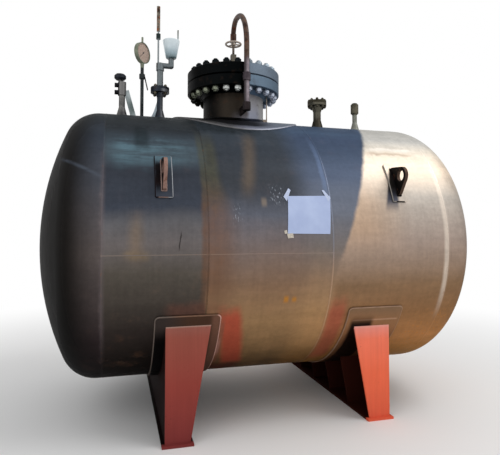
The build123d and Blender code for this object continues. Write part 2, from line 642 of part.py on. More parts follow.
def lug_plate():
    base = SHELL_RADIUS + LUG_PAD_THICKNESS
    eye = base + LUG_EYE_RISE
    foot_low = math.sqrt(base ** 2 - LUG_HALF_BASE ** 2) - WELD_FIT
    foot = Pos(0, foot_low + LUG_THICKNESS / 2) * Rectangle(2 * LUG_HALF_BASE, LUG_THICKNESS)
    tip = Pos(0, eye) * Circle(LUG_TIP_RADIUS)
    outline = make_hull(tip.edges() + foot.edges()) - Pos(0, eye) * Circle(LUG_EYE_RADIUS) - Circle(base)
    return extrude(Plane.YZ * outline, LUG_THICKNESS / 2, both=True)


def at_lug(shape, x, side):
    """Turns a shape about the tank's axis to the lug's place, front for -1 and back for 1."""
    return Pos(x, 0, AXIS_HEIGHT) * Rot(-side * LUG_TURN, 0, 0) * shape


# Small nozzles and fittings

def branch_foot(radius, x, flare, rise):
    """Tapered foot of a pipe where it leaves the shell."""
    outer = radius + flare
    foot = turned([
        (radius - WELD_FIT, CUT_BOTTOM), (outer, CUT_BOTTOM),
        (outer, SHELL_TOP), (radius - WELD_FIT, SHELL_TOP + rise),
    ], x)
    return foot - along_tank(SHELL_RADIUS, x - 2 * outer, x + 2 * outer)


def pipe_stub(radius, wall, x, top, flare=BRANCH_FLARE, rise=BRANCH_RISE):
    """Pipe through the shell with its tapered foot."""
    low = SHELL_TOP - SHELL_WALL - NOZZLE_INSIDE
    pipe = upright(radius, low, top, x) + branch_foot(radius, x, flare, rise)
    return pipe - upright(radius - wall, low, top, x)


def flange_bolt_holes(x, circle, count, bottom, top):
    radius = NOZZLE_BOLT_RADIUS + NOZZLE_BOLT_CLEARANCE
    return [upright(radius, bottom, top, hx, hy) for hx, hy, _ in on_circle(circle, count, x, 0, 180 / count)]


def weld_neck_flange(pipe, bottom, thickness, flare, hub_height, rim, x):
    """Flange ring that tapers down to the pipe, with the pipe's bore."""
    bore = pipe - NOZZLE_WALL
    hub_low = bottom - hub_height
    return turned([
        (bore, hub_low), (pipe, hub_low), (pipe + flare, bottom), (rim, bottom),
        (rim, bottom + thickness), (bore, bottom + thickness),
    ], x)


def flange_bolts(x, circle, count, low, high):
    """Bolts with a nut on each face of a flange pair."""
    bolts = []
    for bx, by, turn in on_circle(circle, count, x, 0, 180 / count):
        shank = upright(NOZZLE_BOLT_RADIUS, low - NOZZLE_NUT_HEIGHT - NOZZLE_BOLT_END,
                        high + NOZZLE_NUT_HEIGHT + NOZZLE_BOLT_END, bx, by)
        lower = hexagon_nut(NOZZLE_NUT_FLATS, low - NOZZLE_NUT_HEIGHT, low, bx, by, turn)
        upper = hexagon_nut(NOZZLE_NUT_FLATS, high, high + NOZZLE_NUT_HEIGHT, bx, by, turn)
        bolts.append(as_one([shank, lower, upper]))
    return bolts


def nozzle_neck():
    top = NOZZLE_JOINT + NOZZLE_FLANGE_THICKNESS
    flange = weld_neck_flange(NOZZLE_RADIUS, NOZZLE_JOINT, NOZZLE_FLANGE_THICKNESS, NOZZLE_HUB_FLARE,
                              NOZZLE_HUB_HEIGHT, NOZZLE_FLANGE_RADIUS, NOZZLE_X)
    pipe = pipe_stub(NOZZLE_RADIUS, NOZZLE_WALL, NOZZLE_X, NOZZLE_JOINT - NOZZLE_HUB_HEIGHT)
    return pipe + flange - flange_bolt_holes(NOZZLE_X, NOZZLE_BOLT_CIRCLE, NOZZLE_BOLTS, NOZZLE_JOINT, top)


def nozzle_blind():
    """Blind flange with its gasket's thickness as a raised face."""
    low = NOZZLE_JOINT + NOZZLE_FLANGE_THICKNESS
    bottom = low + NOZZLE_GASKET
    top = bottom + NOZZLE_FLANGE_THICKNESS
    face = NOZZLE_BOLT_CIRCLE - NOZZLE_NUT_FLATS / 2
    disc = turned([
        (0, low), (face, low), (face, bottom), (NOZZLE_FLANGE_RADIUS, bottom),
        (NOZZLE_FLANGE_RADIUS, top), (0, top),
    ], NOZZLE_X)
    return disc - flange_bolt_holes(NOZZLE_X, NOZZLE_BOLT_CIRCLE, NOZZLE_BOLTS, bottom, top)


def nozzle_bolts():
    """The bolts of the blind flange and of the relief valve's flange."""
    blind = flange_bolts(NOZZLE_X, NOZZLE_BOLT_CIRCLE, NOZZLE_BOLTS, NOZZLE_JOINT,
                         NOZZLE_JOINT + 2 * NOZZLE_FLANGE_THICKNESS + NOZZLE_GASKET)
    relief = flange_bolts(RELIEF_X, RELIEF_BOLT_CIRCLE, RELIEF_BOLTS, RELIEF_JOINT,
                          RELIEF_JOINT + 2 * RELIEF_FLANGE_THICKNESS)
    return apart(blind + relief)


def coupling_stem():
    return pipe_stub(COUPLING_RADIUS, NOZZLE_WALL, COUPLING_X, SHELL_TOP + COUPLING_RISE)


def coupling_cap():
    low = SHELL_TOP + COUPLING_RISE - COUPLING_CAP_OVERLAP
    top = low + COUPLING_CAP_HEIGHT
    cut = COUPLING_CAP_CHAMFER
    cap = turned([
        (0, low), (COUPLING_CAP_RADIUS - cut, low), (COUPLING_CAP_RADIUS, low + cut),
        (COUPLING_CAP_RADIUS, top - cut), (COUPLING_CAP_RADIUS - cut, top), (0, top),
    ], COUPLING_X)
    return cap - upright(COUPLING_RADIUS + WELD_FIT, low, low + COUPLING_CAP_OVERLAP, COUPLING_X)


def valve_stub():
    return pipe_stub(VALVE_STUB_RADIUS, NOZZLE_WALL, VALVE_X, SHELL_TOP + VALVE_STUB_RISE)


def valve_body():
    low = SHELL_TOP + VALVE_STUB_RISE
    top = low + VALVE_BODY_HEIGHT
    body = upright(VALVE_BODY_RADIUS, low, top, VALVE_X)
    spindle = upright(VALVE_SPINDLE_RADIUS, top, top + VALVE_SPINDLE_HEIGHT, VALVE_X + VALVE_SPINDLE_OFFSET)
    bosses = [
        Pos(VALVE_X - VALVE_BOSS_LENGTH / 2, 0, low + rise) * Rot(0, 90, 0) * Cylinder(
            VALVE_BOSS_RADIUS, VALVE_BOSS_LENGTH)
        for rise in VALVE_BOSS_RISES
    ]
    return as_one([body, spindle] + bosses)


def valve_wheel():
    low = SHELL_TOP + VALVE_STUB_RISE + VALVE_BODY_HEIGHT + VALVE_SPINDLE_HEIGHT
    top = low + VALVE_WHEEL_HEIGHT
    cut = VALVE_WHEEL_EDGE
    return turned([
        (0, low), (VALVE_WHEEL_RADIUS - cut, low), (VALVE_WHEEL_RADIUS, low + cut),
        (VALVE_WHEEL_RADIUS, top - cut), (VALVE_WHEEL_RADIUS - cut, top), (0, top),
    ], VALVE_X + VALVE_SPINDLE_OFFSET)


def valve_brace():
    """Flat bar on edge that slopes from the side of the valve body down to the shell."""
    top_z = SHELL_TOP + BRACE_TOP_RISE
    foot_z = SHELL_TOP - SHELL_WALL
    run = BRACE_REACH - VALVE_BODY_RADIUS
    slope = math.degrees(math.atan2(top_z - foot_z, run))
    bar = Pos(BRACE_FOOT_X - run / 2, 0, (top_z + foot_z) / 2) * Rot(0, slope, 0) * Box(
        math.hypot(run, top_z - foot_z), BRACE_THICKNESS, BRACE_WIDTH)
    bar = bar - upright(VALVE_STUB_RADIUS, foot_z, SHELL_TOP + VALVE_STUB_RISE, VALVE_X)
    bar = bar - upright(VALVE_BODY_RADIUS, SHELL_TOP + VALVE_STUB_RISE, top_z + BRACE_WIDTH, VALVE_X)
    bar = bar - along_tank(SHELL_RADIUS, VALVE_X, BRACE_FOOT_X + BRACE_WIDTH)
    bar = bar - branch_foot(VALVE_STUB_RADIUS, VALVE_X, BRANCH_FLARE, BRANCH_RISE)
    return bar.solids().sort_by(SortBy.VOLUME)[-1]


def gauge_stand():
    """Stand pipe with an isolating cock and its lever."""
    pipe = pipe_stub(GAUGE_PIPE_RADIUS, GAUGE_PIPE_WALL, GAUGE_X, GAUGE_PIPE_TOP, FILLET_WELD, FILLET_WELD)
    cock_low = SHELL_TOP + GAUGE_COCK_RISE
    cock = hexagon_nut(2 * GAUGE_COCK_RADIUS, cock_low, cock_low + GAUGE_COCK_HEIGHT, GAUGE_X, 0)
    lever = Pos(GAUGE_X + GAUGE_COCK_RADIUS, 0, cock_low + GAUGE_COCK_HEIGHT / 2) * Rot(
        0, -GAUGE_LEVER_TURN, 0) * Pos(0, 0, -GAUGE_LEVER_LENGTH / 2) * Box(
        GAUGE_LEVER_THICKNESS, GAUGE_LEVER_WIDTH, GAUGE_LEVER_LENGTH)
    return pipe + cock + lever


def gauge():
    """Round gauge on a tapering socket, with a small vent on top."""
    drum = extrude(Plane.XZ * Circle(GAUGE_CASE_RADIUS), GAUGE_CASE_DEPTH / 2, both=True)
    dish = extrude(Plane.XZ.offset(GAUGE_CASE_DEPTH / 2 - GAUGE_BEZEL_DEPTH) * Circle(
        GAUGE_CASE_RADIUS - GAUGE_BEZEL), GAUGE_BEZEL_DEPTH)
    drum = Pos(GAUGE_X, 0, GAUGE_CENTRE) * Rot(0, 0, GAUGE_TURN) * (drum - dish)
    shoulder = GAUGE_PIPE_TOP + GAUGE_SOCKET_HEIGHT + GAUGE_BEZEL
    socket = turned([
        (0, GAUGE_PIPE_TOP), (GAUGE_PIPE_RADIUS, GAUGE_PIPE_TOP),
        (GAUGE_SOCKET_RADIUS, GAUGE_CENTRE - GAUGE_CASE_RADIUS),
        (GAUGE_SOCKET_RADIUS, shoulder), (0, shoulder),
    ], GAUGE_X)
    top = GAUGE_CENTRE + GAUGE_CASE_RADIUS
    vent = upright(GAUGE_VENT_RADIUS, top - GAUGE_BEZEL, top + GAUGE_VENT_HEIGHT, GAUGE_X)
    return as_one([drum, socket, vent])


def relief_nozzle():
    top = RELIEF_JOINT + RELIEF_FLANGE_THICKNESS
    flange = weld_neck_flange(RELIEF_PIPE_RADIUS, RELIEF_JOINT, RELIEF_FLANGE_THICKNESS, RELIEF_HUB_FLARE,
                              RELIEF_HUB_HEIGHT, RELIEF_FLANGE_RADIUS, RELIEF_X)
    pipe = pipe_stub(RELIEF_PIPE_RADIUS, NOZZLE_WALL, RELIEF_X, RELIEF_JOINT - RELIEF_HUB_HEIGHT)
    return pipe + flange - flange_bolt_holes(RELIEF_X, RELIEF_BOLT_CIRCLE, RELIEF_BOLTS, RELIEF_JOINT, top)


def relief_valve():
    """Valve body on its own flange, with a bonnet and an outlet elbow that turns up."""
    low = RELIEF_JOINT + RELIEF_FLANGE_THICKNESS
    rim = low + RELIEF_FLANGE_THICKNESS
    flange = upright(RELIEF_FLANGE_RADIUS, low, rim, RELIEF_X)
    flange = flange - flange_bolt_holes(RELIEF_X, RELIEF_BOLT_CIRCLE, RELIEF_BOLTS, low, rim)
    body = upright(RELIEF_BODY_RADIUS, low, RELIEF_TOP, RELIEF_X)
    bonnet = upright(RELIEF_BONNET_RADIUS, RELIEF_TOP - RELIEF_BONNET_HEIGHT, RELIEF_TOP, RELIEF_X)
    arm = Pos((RELIEF_X + RELIEF_OUTLET_X) / 2, 0, RELIEF_OUTLET_Z) * Rot(0, 90, 0) * Cylinder(
        RELIEF_OUTLET_RADIUS, RELIEF_OUTLET_OFFSET)
    elbow = Pos(RELIEF_OUTLET_X, 0, RELIEF_OUTLET_Z) * Sphere(RELIEF_OUTLET_RADIUS)
    riser = upright(RELIEF_OUTLET_RADIUS, RELIEF_OUTLET_Z, RELIEF_RISER_TOP, RELIEF_OUTLET_X)
    return as_one([flange, body, bonnet, arm, elbow, riser])


def outlet_cap():
    """Plastic cap that widens upwards from the outlet, with a pull tab on top."""
    x = RELIEF_OUTLET_X
    low = RELIEF_RISER_TOP - OUTLET_CAP_OVERLAP
    top = low + OUTLET_CAP_HEIGHT
    cap = turned([(0, low), (OUTLET_CAP_FOOT_RADIUS, low), (OUTLET_CAP_RADIUS, top), (0, top)], x)
    cap = fillet(cap.edges().filter_by(GeomType.CIRCLE).sort_by(Axis.Z)[0], OUTLET_CAP_ROUNDING)
    cap = fillet(cap.edges().filter_by(GeomType.CIRCLE).sort_by(Axis.Z)[-1], OUTLET_CAP_EDGE)
    hollow = upright(RELIEF_OUTLET_RADIUS + WELD_FIT, low, RELIEF_RISER_TOP + WELD_FIT, x)
    tab_x = x + OUTLET_CAP_RADIUS - OUTLET_CAP_EDGE - OUTLET_TAB_THICKNESS
    tab = Pos(tab_x, 0, top + OUTLET_TAB_HEIGHT / 2 - WELD_FIT) * Box(
        OUTLET_TAB_THICKNESS, OUTLET_TAB_WIDTH, OUTLET_TAB_HEIGHT)
    return cap - hollow + tab


def level_rod():
    """Slim rod with a stop knob and a rusted threaded sleeve at the top."""
    x = RELIEF_X + LEVEL_ROD_OFFSET
    top = RELIEF_TOP + LEVEL_ROD_LENGTH
    knob_low = RELIEF_TOP + LEVEL_ROD_KNOB_RISE
    rod = upright(LEVEL_ROD_RADIUS, RELIEF_TOP, top, x)
    sleeve = upright(LEVEL_ROD_SLEEVE_RADIUS, top - LEVEL_ROD_SLEEVE_LENGTH, top, x)
    knob = upright(LEVEL_ROD_KNOB_RADIUS, knob_low, knob_low + LEVEL_ROD_KNOB_HEIGHT, x)
    return as_one([rod, sleeve, knob])


def build_parts():
    parts = {
        "shell_course_left": shell_course(-HEAD_SEAM_X, LEFT_GIRTH_X),
        "shell_course_middle": shell_course(LEFT_GIRTH_X, RIGHT_GIRTH_X),
        "shell_course_right": shell_course(RIGHT_GIRTH_X, HEAD_SEAM_X),
        "manway_pad": manway_pad(),
        "manway_neck": manway_neck(),
        "manway_flange": manway_flange(),
        "manway_gasket": manway_gasket(),
        "manway_cover": manway_cover(),
        "manway_studs": manway_studs(),
        "cover_lug": cover_lug(),
        "davit_foot_bracket": davit_foot_bracket(),
        "davit_guide": davit_guide(),
        "davit_arm": davit_arm(),
        "davit_screw": davit_screw(),
        "manway_side_rod": manway_side_rod(),
        "nozzle_neck": nozzle_neck(),
        "nozzle_blind": nozzle_blind(),
        "nozzle_bolts": nozzle_bolts(),
        "coupling_stem": coupling_stem(),
        "coupling_cap": coupling_cap(),
        "valve_stub": valve_stub(),
        "valve_body": valve_body(),
        "valve_wheel": valve_wheel(),
        "valve_brace": valve_brace(),
        "gauge_stand": gauge_stand(),
        "gauge": gauge(),
        "relief_nozzle": relief_nozzle(),
        "relief_valve": relief_valve(),
        "outlet_cap": outlet_cap(),
        "level_rod": level_rod(),
    }
    for end, contact in (("left", SADDLE_LEFT_HALF_CONTACT), ("right", SADDLE_RIGHT_HALF_CONTACT)):
        pieces = {
            "head": dished_head(),
            "saddle_wear_plate": saddle_wear_plate(),
            "saddle_web": saddle_web(contact),
            "saddle_ribs": saddle_ribs(contact),
            "saddle_base": saddle_base(contact),
        }
        for name, shape in pieces.items():
            parts[f"{name}_{end}"] = at_end(shape, end)
    pads = []
    for end, x in (("left", -LUG_X), ("right", LUG_X)):
        for face, side in (("front", -1), ("back", 1)):
            parts[f"lifting_lug_{end}_{face}"] = at_lug(lug_plate(), x, side)
            pads.append(at_lug(lug_pad(), x, side))
    parts["lifting_lug_pads"] = apart(pads)
    return parts


os.makedirs("parts", exist_ok=True)
for node, shape in build_parts().items():
    export_step(shape, f"parts/{node}.step")
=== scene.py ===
"""Looks of the horizontal pressure tank: finishes for every plate and fitting, weld beads, nuts and
threads, the gauge's dial and the taped sheet of paper. Metres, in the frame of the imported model."""
import math

import bmesh
import bpy
import numpy as np
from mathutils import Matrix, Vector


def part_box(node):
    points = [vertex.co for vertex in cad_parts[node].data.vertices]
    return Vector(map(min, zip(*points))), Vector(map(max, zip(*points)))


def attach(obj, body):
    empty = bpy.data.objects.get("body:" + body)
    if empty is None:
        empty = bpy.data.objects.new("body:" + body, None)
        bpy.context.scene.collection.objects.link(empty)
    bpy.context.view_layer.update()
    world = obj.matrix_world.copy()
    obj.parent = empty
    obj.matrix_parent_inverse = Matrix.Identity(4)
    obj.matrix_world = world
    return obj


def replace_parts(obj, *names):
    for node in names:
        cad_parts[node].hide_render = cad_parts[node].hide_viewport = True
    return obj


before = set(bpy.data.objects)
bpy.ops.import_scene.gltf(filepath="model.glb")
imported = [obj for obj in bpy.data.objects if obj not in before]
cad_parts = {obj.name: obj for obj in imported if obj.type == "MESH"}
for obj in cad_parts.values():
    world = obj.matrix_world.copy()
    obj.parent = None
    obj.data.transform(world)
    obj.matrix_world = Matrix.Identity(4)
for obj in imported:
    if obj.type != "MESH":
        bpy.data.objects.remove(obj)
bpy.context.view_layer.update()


def span(box, axis):
    """Where a box starts and ends along an axis."""
    return [getattr(corner, axis) for corner in box]


def middle(low, high):
    return (low + high) / 2


def half(low, high):
    return (high - low) / 2


# Tank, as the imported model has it
SHELL_HEIGHTS = span(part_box("shell_course_middle"), "z")
AXIS_Z = middle(*SHELL_HEIGHTS)
SHELL_R = half(*SHELL_HEIGHTS)
LEFT_GIRTH_X, RIGHT_GIRTH_X = span(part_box("shell_course_middle"), "x")
LEFT_SEAM_X = span(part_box("shell_course_left"), "x")[0]
RIGHT_SEAM_X = span(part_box("shell_course_right"), "x")[1]
LONG_SEAM_TURN = 92.8
BACK_SEAM_TURN = -100.0

# Manway
MANWAY_X = middle(*span(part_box("manway_neck"), "x"))
NECK_R = half(*span(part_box("manway_neck"), "x"))
NECK_LOW, NECK_HIGH = span(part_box("manway_neck"), "z")
PAD_R = half(*span(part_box("manway_pad"), "x"))
PAD_T = 0.012
FLANGE_LOW, FLANGE_HIGH = span(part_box("manway_flange"), "z")
COVER_TOP = span(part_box("manway_cover"), "z")[1]
STUD_LOW = span(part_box("manway_studs"), "z")[0]
STUD_COUNT = 24
STUD_CIRCLE = 0.343
STUD_R = 0.016
STUD_END = 0.010
STUD_PITCH = 0.0035
NUT_FLATS = 0.050
NUT_H = 0.031
STUD_SIDES = 20

# Small flanges
BOLT_R = 0.008
BOLT_END = 0.005
BOLT_PITCH = 0.002
BOLT_NUT_FLATS = 0.024
BOLT_NUT_H = 0.014
FLANGE_T = 0.022
BLIND_T = 0.024
BLIND_X = middle(*span(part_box("nozzle_blind"), "x"))
BLIND_CIRCLE = 0.067
BLIND_NECK_MIDDLE = middle(*span(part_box("nozzle_neck"), "z"))
RELIEF_X = middle(*span(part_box("relief_nozzle"), "x"))
RELIEF_CIRCLE = 0.056
RELIEF_FLANGE_TOP = span(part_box("relief_valve"), "z")[0] + FLANGE_T

# The valve's body is dark on its ports, which end at this station
VALVE_PORT_X = span(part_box("valve_body"), "x")[0] + 0.036

# Level rod: its knob above the foot and its sleeve below the top
ROD_KNOB_LOW = 0.202
ROD_KNOB_HIGH = 0.246
ROD_SLEEVE = 0.207

# Saddles: their plate, and the half angle, corner radius and thickness of their wear plates
SADDLE_PLATE = 0.012
WEAR_HALF_TURN = 64.0
WEAR_CORNER = 0.024
WEAR_T = 0.012

# Lugs: angle from the top, thickness of the pad, and outlines of the pad and of the plate's foot, each as
# half its length along and round the tank and its corner radius
LUG_TURN = 63.6
LUG_PAD_T = 0.012
LUG_PAD = 0.051, 0.151, 0.006
LUG_FOOT = 0.014, 0.112, 0.003

# Dusty steel mirrors little at a glancing angle
DULL_EDGE = 0.25

# Weld beads: how far their foot lies in the plate, the length, depth and lag of their ripples, and width
# and height of each
BEAD_EMBED = 0.002
BEAD_RIPPLE = 0.006
RIPPLE_DEPTH = 0.18
RIPPLE_LAG = 2.5
PAD_BEAD_LIFT = 0.004
GIRTH_WIDTH = 0.012
FRONT_SEAM_BEAD = 0.007, 0.0009
BACK_SEAM_BEAD = 0.012, 0.0018
PAD_BEAD = 0.015, 0.004
LUG_PAD_BEAD = 0.011, 0.004
LUG_FOOT_BEAD = 0.012, 0.005
WEAR_BEAD = 0.015, 0.005
NECK_FILLET = 0.024, 0.022

# Faces that meet at a larger angle keep a sharp edge, in degrees
SHARP_EDGE = 35


def srgb(code):
    """Linear red, green, blue and alpha of a six digit colour."""
    parts = [int(code[i:i + 2], 16) / 255 for i in (0, 2, 4)]
    return tuple(c / 12.92 if c <= 0.04045 else ((c + 0.055) / 1.055) ** 2.4 for c in parts) + (1.0,)


def as_colour(value):
    """A colour code made linear; a socket's value as it is."""
    return srgb(value) if isinstance(value, str) else value


# Shader arithmetic

class Value:
    """A number socket that takes part in Python arithmetic by adding Math nodes."""

    def __init__(self, finish, socket):
        self.finish = finish
        self.socket = socket

    def math(self, operation, *others):
        return self.finish.node("ShaderNodeMath", {"operation": operation}, self, *others)

    def __add__(self, other):
        return self.math("ADD", other)

    __radd__ = __add__

    def __sub__(self, other):
        return self.math("SUBTRACT", other)

    def __rsub__(self, other):
        return self.finish.node("ShaderNodeMath", {"operation": "SUBTRACT"}, other, self)

    def __mul__(self, other):
        return self.math("MULTIPLY", other)

    __rmul__ = __mul__

    def __truediv__(self, other):
        return self.math("DIVIDE", other)

    def __abs__(self):
        return self.math("ABSOLUTE")

    def above(self, least):
        return self.math("MAXIMUM", least)

    def wavy(self, noise, reach):
        """Moved to and fro by a noise, so that what it limits gets a ragged edge."""
        return self + (noise - 0.5) * reach

    def step(self, low, high):
        """0 below low, 1 above high and smooth between them; falls instead where low is the larger."""
        return self.finish.node("ShaderNodeMapRange", {"interpolation_type": "SMOOTHSTEP"},
                                self, low, high, 0.0, 1.0)

    def band(self, low, high, soft):
        """1 between low and high, with soft edges."""
        return self.step(low - soft, low + soft) * self.step(high + soft, high - soft)


class Finish:
    """A material under construction, with its colour so far. node() adds any node, with its settings and
    its inputs in order."""

    def __init__(self, name, metallic=0.0, roughness=0.5, specular=0.3, edge=DULL_EDGE):
        self.colour = None
        self.material = bpy.data.materials.new(name)
        self.material.use_nodes = True
        self.tree = self.material.node_tree
        self.shader = self.tree.nodes["Principled BSDF"]
        self.shader.inputs["Metallic"].default_value = metallic
        self.shader.inputs["Roughness"].default_value = roughness
        self.shader.inputs["Specular IOR Level"].default_value = specular
        self.shader.inputs["Specular Tint"].default_value = (edge, edge, edge, 1.0)
        place = self.tree.nodes.new("ShaderNodeTexCoord").outputs["Object"]
        self.place = Value(self, place)
        split = self.tree.nodes.new("ShaderNodeSeparateXYZ")
        self.tree.links.new(place, split.inputs[0])
        self.x, self.y, self.z = (Value(self, split.outputs[i]) for i in range(3))

    def node(self, kind, settings, *inputs):
        made = self.tree.nodes.new(kind)
        for name, value in settings.items():
            setattr(made, name, value)
        for socket, value in zip([s for s in made.inputs if s.enabled], inputs):
            if isinstance(value, Value):
                self.tree.links.new(value.socket, socket)
            elif value is not None:
                socket.default_value = value
        return Value(self, [s for s in made.outputs if s.enabled][0])

    def vector(self, x, y, z):
        return self.node("ShaderNodeCombineXYZ", {}, x, y, z)

    def noise(self, scale, detail=5.0, rough=0.6, place=None):
        """Cloudy values from 0 to 1."""
        return self.node("ShaderNodeTexNoise", {}, place or self.place, scale, detail, rough)

    def cells(self, scale):
        """Distance to scattered points, for specks."""
        return self.node("ShaderNodeTexVoronoi", {}, self.place, scale)

    def turn(self):
        """Angle about the tank's axis from the top in degrees, the same at the front and the back. It
        comes from the height alone, acos((z - axis) / radius), so it makes level bands on the heads."""
        return ((self.z - AXIS_Z) / SHELL_R).math("ARCCOSINE") * (180 / math.pi)

    def mix(self, share, first, second):
        """From the first colour to the second as the share goes from 0 to 1."""
        return self.node("ShaderNodeMix", {"data_type": "RGBA"}, share, as_colour(first),
                         as_colour(second))

    def over(self, share, second):
        """Lays a second colour over the colour so far."""
        self.colour = self.mix(share, self.colour, second)

    def shade(self, amount):
        """Makes the colour lighter or darker by a varying number."""
        self.colour = self.node("ShaderNodeVectorMath", {"operation": "SCALE"}, self.colour, amount)

    def tones(self, value, top, *stops):
        """Colour by a value from 0 to top, through (value, colour code) stops."""
        made = self.tree.nodes.new("ShaderNodeValToRGB")
        elements = made.color_ramp.elements
        while len(elements) < len(stops):
            elements.new(0.5)
        for element, (at, code) in zip(elements, stops):
            element.position = at / top
            element.color = srgb(code)
        self.tree.links.new((value / top).socket, made.inputs[0])
        return Value(self, made.outputs[0])

    def feed(self, name, value):
        self.tree.links.new(value.socket, self.shader.inputs[name])

    def bump(self, height, strength, distance):
        made = self.tree.nodes.new("ShaderNodeBump")
        made.inputs["Strength"].default_value = strength
        made.inputs["Distance"].default_value = distance
        self.tree.links.new(height.socket, made.inputs["Height"])
        self.tree.links.new(made.outputs[0], self.shader.inputs["Normal"])

    def finished(self, roughness, height, strength, distance):
        """Feeds the base colour, the roughness and a bump from a height, and gives the material."""
        self.feed("Base Color", self.colour)
        self.feed("Roughness", roughness)
        self.bump(height, strength, distance)
        return self.material


# Rolled plate of the shell and heads

# Edge between the plate in painted shade and the plate in painted sunlight
SHADE_LIMIT_X = 0.318
SHADE_SLOPE = 0.0066
SHADE_KNEE = 100.0


def run_off(f):
    """Noise drawn out down the plate, as water leaves it. On the heads it is drawn out in the same way."""
    head = abs(f.x).step(RIGHT_SEAM_X, RIGHT_SEAM_X + 0.12)
    return f.noise(1.0, place=f.vector(f.x * (1.0 - head) * 26.0, f.y * head * 26.0, f.z * 1.3))


def painted_sunlight(f, turn, ragged):
    """1 on the plate in painted sunlight, past a painted shadow edge that slants down to the right girth
    seam.
    """
    knee = (SHADE_KNEE - turn).above(0.0)
    return (f.x - knee * SHADE_SLOPE).wavy(ragged, 0.03).step(SHADE_LIMIT_X - 0.02, SHADE_LIMIT_X + 0.02)


def plate_tone(f, turn, cloud, ragged):
    """Tone of the weathered plate by course and by the angle from the top, with light painted in: a
    near-black head, grey courses whose bluish top and brown flank are partly their own tone and partly
    painted reflections of sky and ground, a dark underside that is painted shade, and painted sunlight at
    the right end."""
    at = turn.wavy(cloud, 8.0)
    head = f.tones(at, 180, (0, "1d2221"), (45, "1b1a1a"), (90, "191614"), (125, "110f0e"), (165, "080707"))
    rim = f.tones(at, 180, (0, "2f3433"), (45, "3a414b"), (65, "454850"), (92, "5b5351"), (125, "32292a"),
                  (165, "0e0c0b"))
    left = f.tones(at, 180, (0, "2e3537"), (32, "363b3f"), (38, "32373c"), (44, "3e474f"), (53, "465159"),
                   (61, "33373f"), (76, "3b404a"), (82, "5f5e61"), (90, "686261"), (100, "565049"),
                   (122, "352e2b"), (146, "1c1410"))
    middle = f.tones(at, 180, (0, "2f363a"), (33, "454d56"), (50, "353a41"), (64, "35383d"), (71, "40434a"),
                     (78, "5b5e68"), (86, "71696a"), (106, "8a6e57"), (120, "a3825d"), (134, "937552"),
                     (150, "6a543a"))
    blue = f.tones(at, 180, (0, "3a4a60"), (32, "4a5b72"), (38, "445167"), (50, "3e495b"), (62, "475061"),
                   (76, "6a6f7b"), (90, "766e6a"), (104, "937860"), (118, "ae8a62"), (132, "bd9466"),
                   (150, "8d683c"))
    # The right end in painted sunlight, lightest from 45 to 60 degrees from the top
    pale = f.tones(turn, 180, (0, "bcbab3"), (36, "c3c1bc"), (45, "d3cabc"), (56, "dfcdb9"), (70, "b4aca3"),
                   (88, "a39287"), (106, "8c6f54"), (120, "966f4b"), (134, "bb8656"), (150, "a87a44"))
    tan = f.x.step(0.95, 0.50) * turn.band(66, 90, 8)
    pale = f.mix(tan * 0.45, pale, "c79f78")
    # Painted highlight along the right head's seam
    head_seam_highlight = f.x.wavy(cloud, 0.02).band(RIGHT_SEAM_X - 0.028, RIGHT_SEAM_X + 0.004, 0.014)
    pale = f.mix(head_seam_highlight * turn.band(52, 116, 10) * 0.55, pale, "eadccd")
    wander = f.x.wavy(cloud, 0.10)
    tone = f.mix(f.x.step(LEFT_SEAM_X - 0.22, LEFT_SEAM_X + 0.02), head, rim)
    tone = f.mix(f.x.step(LEFT_SEAM_X - 0.01, LEFT_SEAM_X + 0.01), tone, left)
    tone = f.mix(wander.step(LEFT_GIRTH_X - 0.02, LEFT_GIRTH_X + 0.02), tone, middle)
    tone = f.mix(wander.step(-0.02, 0.22), tone, blue)
    # Heat and rust beside the left girth seam, and the brushed strip along the head's seam
    beside = f.x.wavy(ragged, 0.03)
    fade = turn.step(62, 82) * 0.13 + 0.06
    heat = (beside.step(LEFT_GIRTH_X - 0.055, LEFT_GIRTH_X - 0.025) * turn.band(42, 112, 9)
            * ((LEFT_GIRTH_X + 0.05 - beside) / fade + 1.0).step(0.0, 1.0))
    tone = f.mix(heat * (ragged * 0.9 + 0.15), tone, f.mix(turn.step(60, 84), "4b4a3a", "6e4f3c"))
    strip = f.x.wavy(ragged, 0.02).band(LEFT_SEAM_X - 0.012, LEFT_SEAM_X + 0.014, 0.012)
    tone = f.mix(strip * turn.band(60, 130, 18) * ragged * 0.7, tone, "6c6264")
    glint = f.x.wavy(ragged, 0.02).band(RIGHT_GIRTH_X - 0.040, RIGHT_GIRTH_X - 0.006, 0.012)
    tone = f.mix(glint * turn.band(42, 72, 8) * 0.28, tone, "6a7d9f")
    return f.mix(painted_sunlight(f, turn, ragged), tone, pale)


# Patches of the shell, in rows as patch() in shell_steel takes them. First a run below the manway, and
# painted shadow of the manway beside its pad
MANWAY_PATCHES = (("6c5c4a", 0.45, -0.235, -0.160, 38, 70, 0.04, 5, -0.0028),
                  ("262b2d", 0.60, -0.60, -0.12, -9, 37, 0.08, 3, 0))
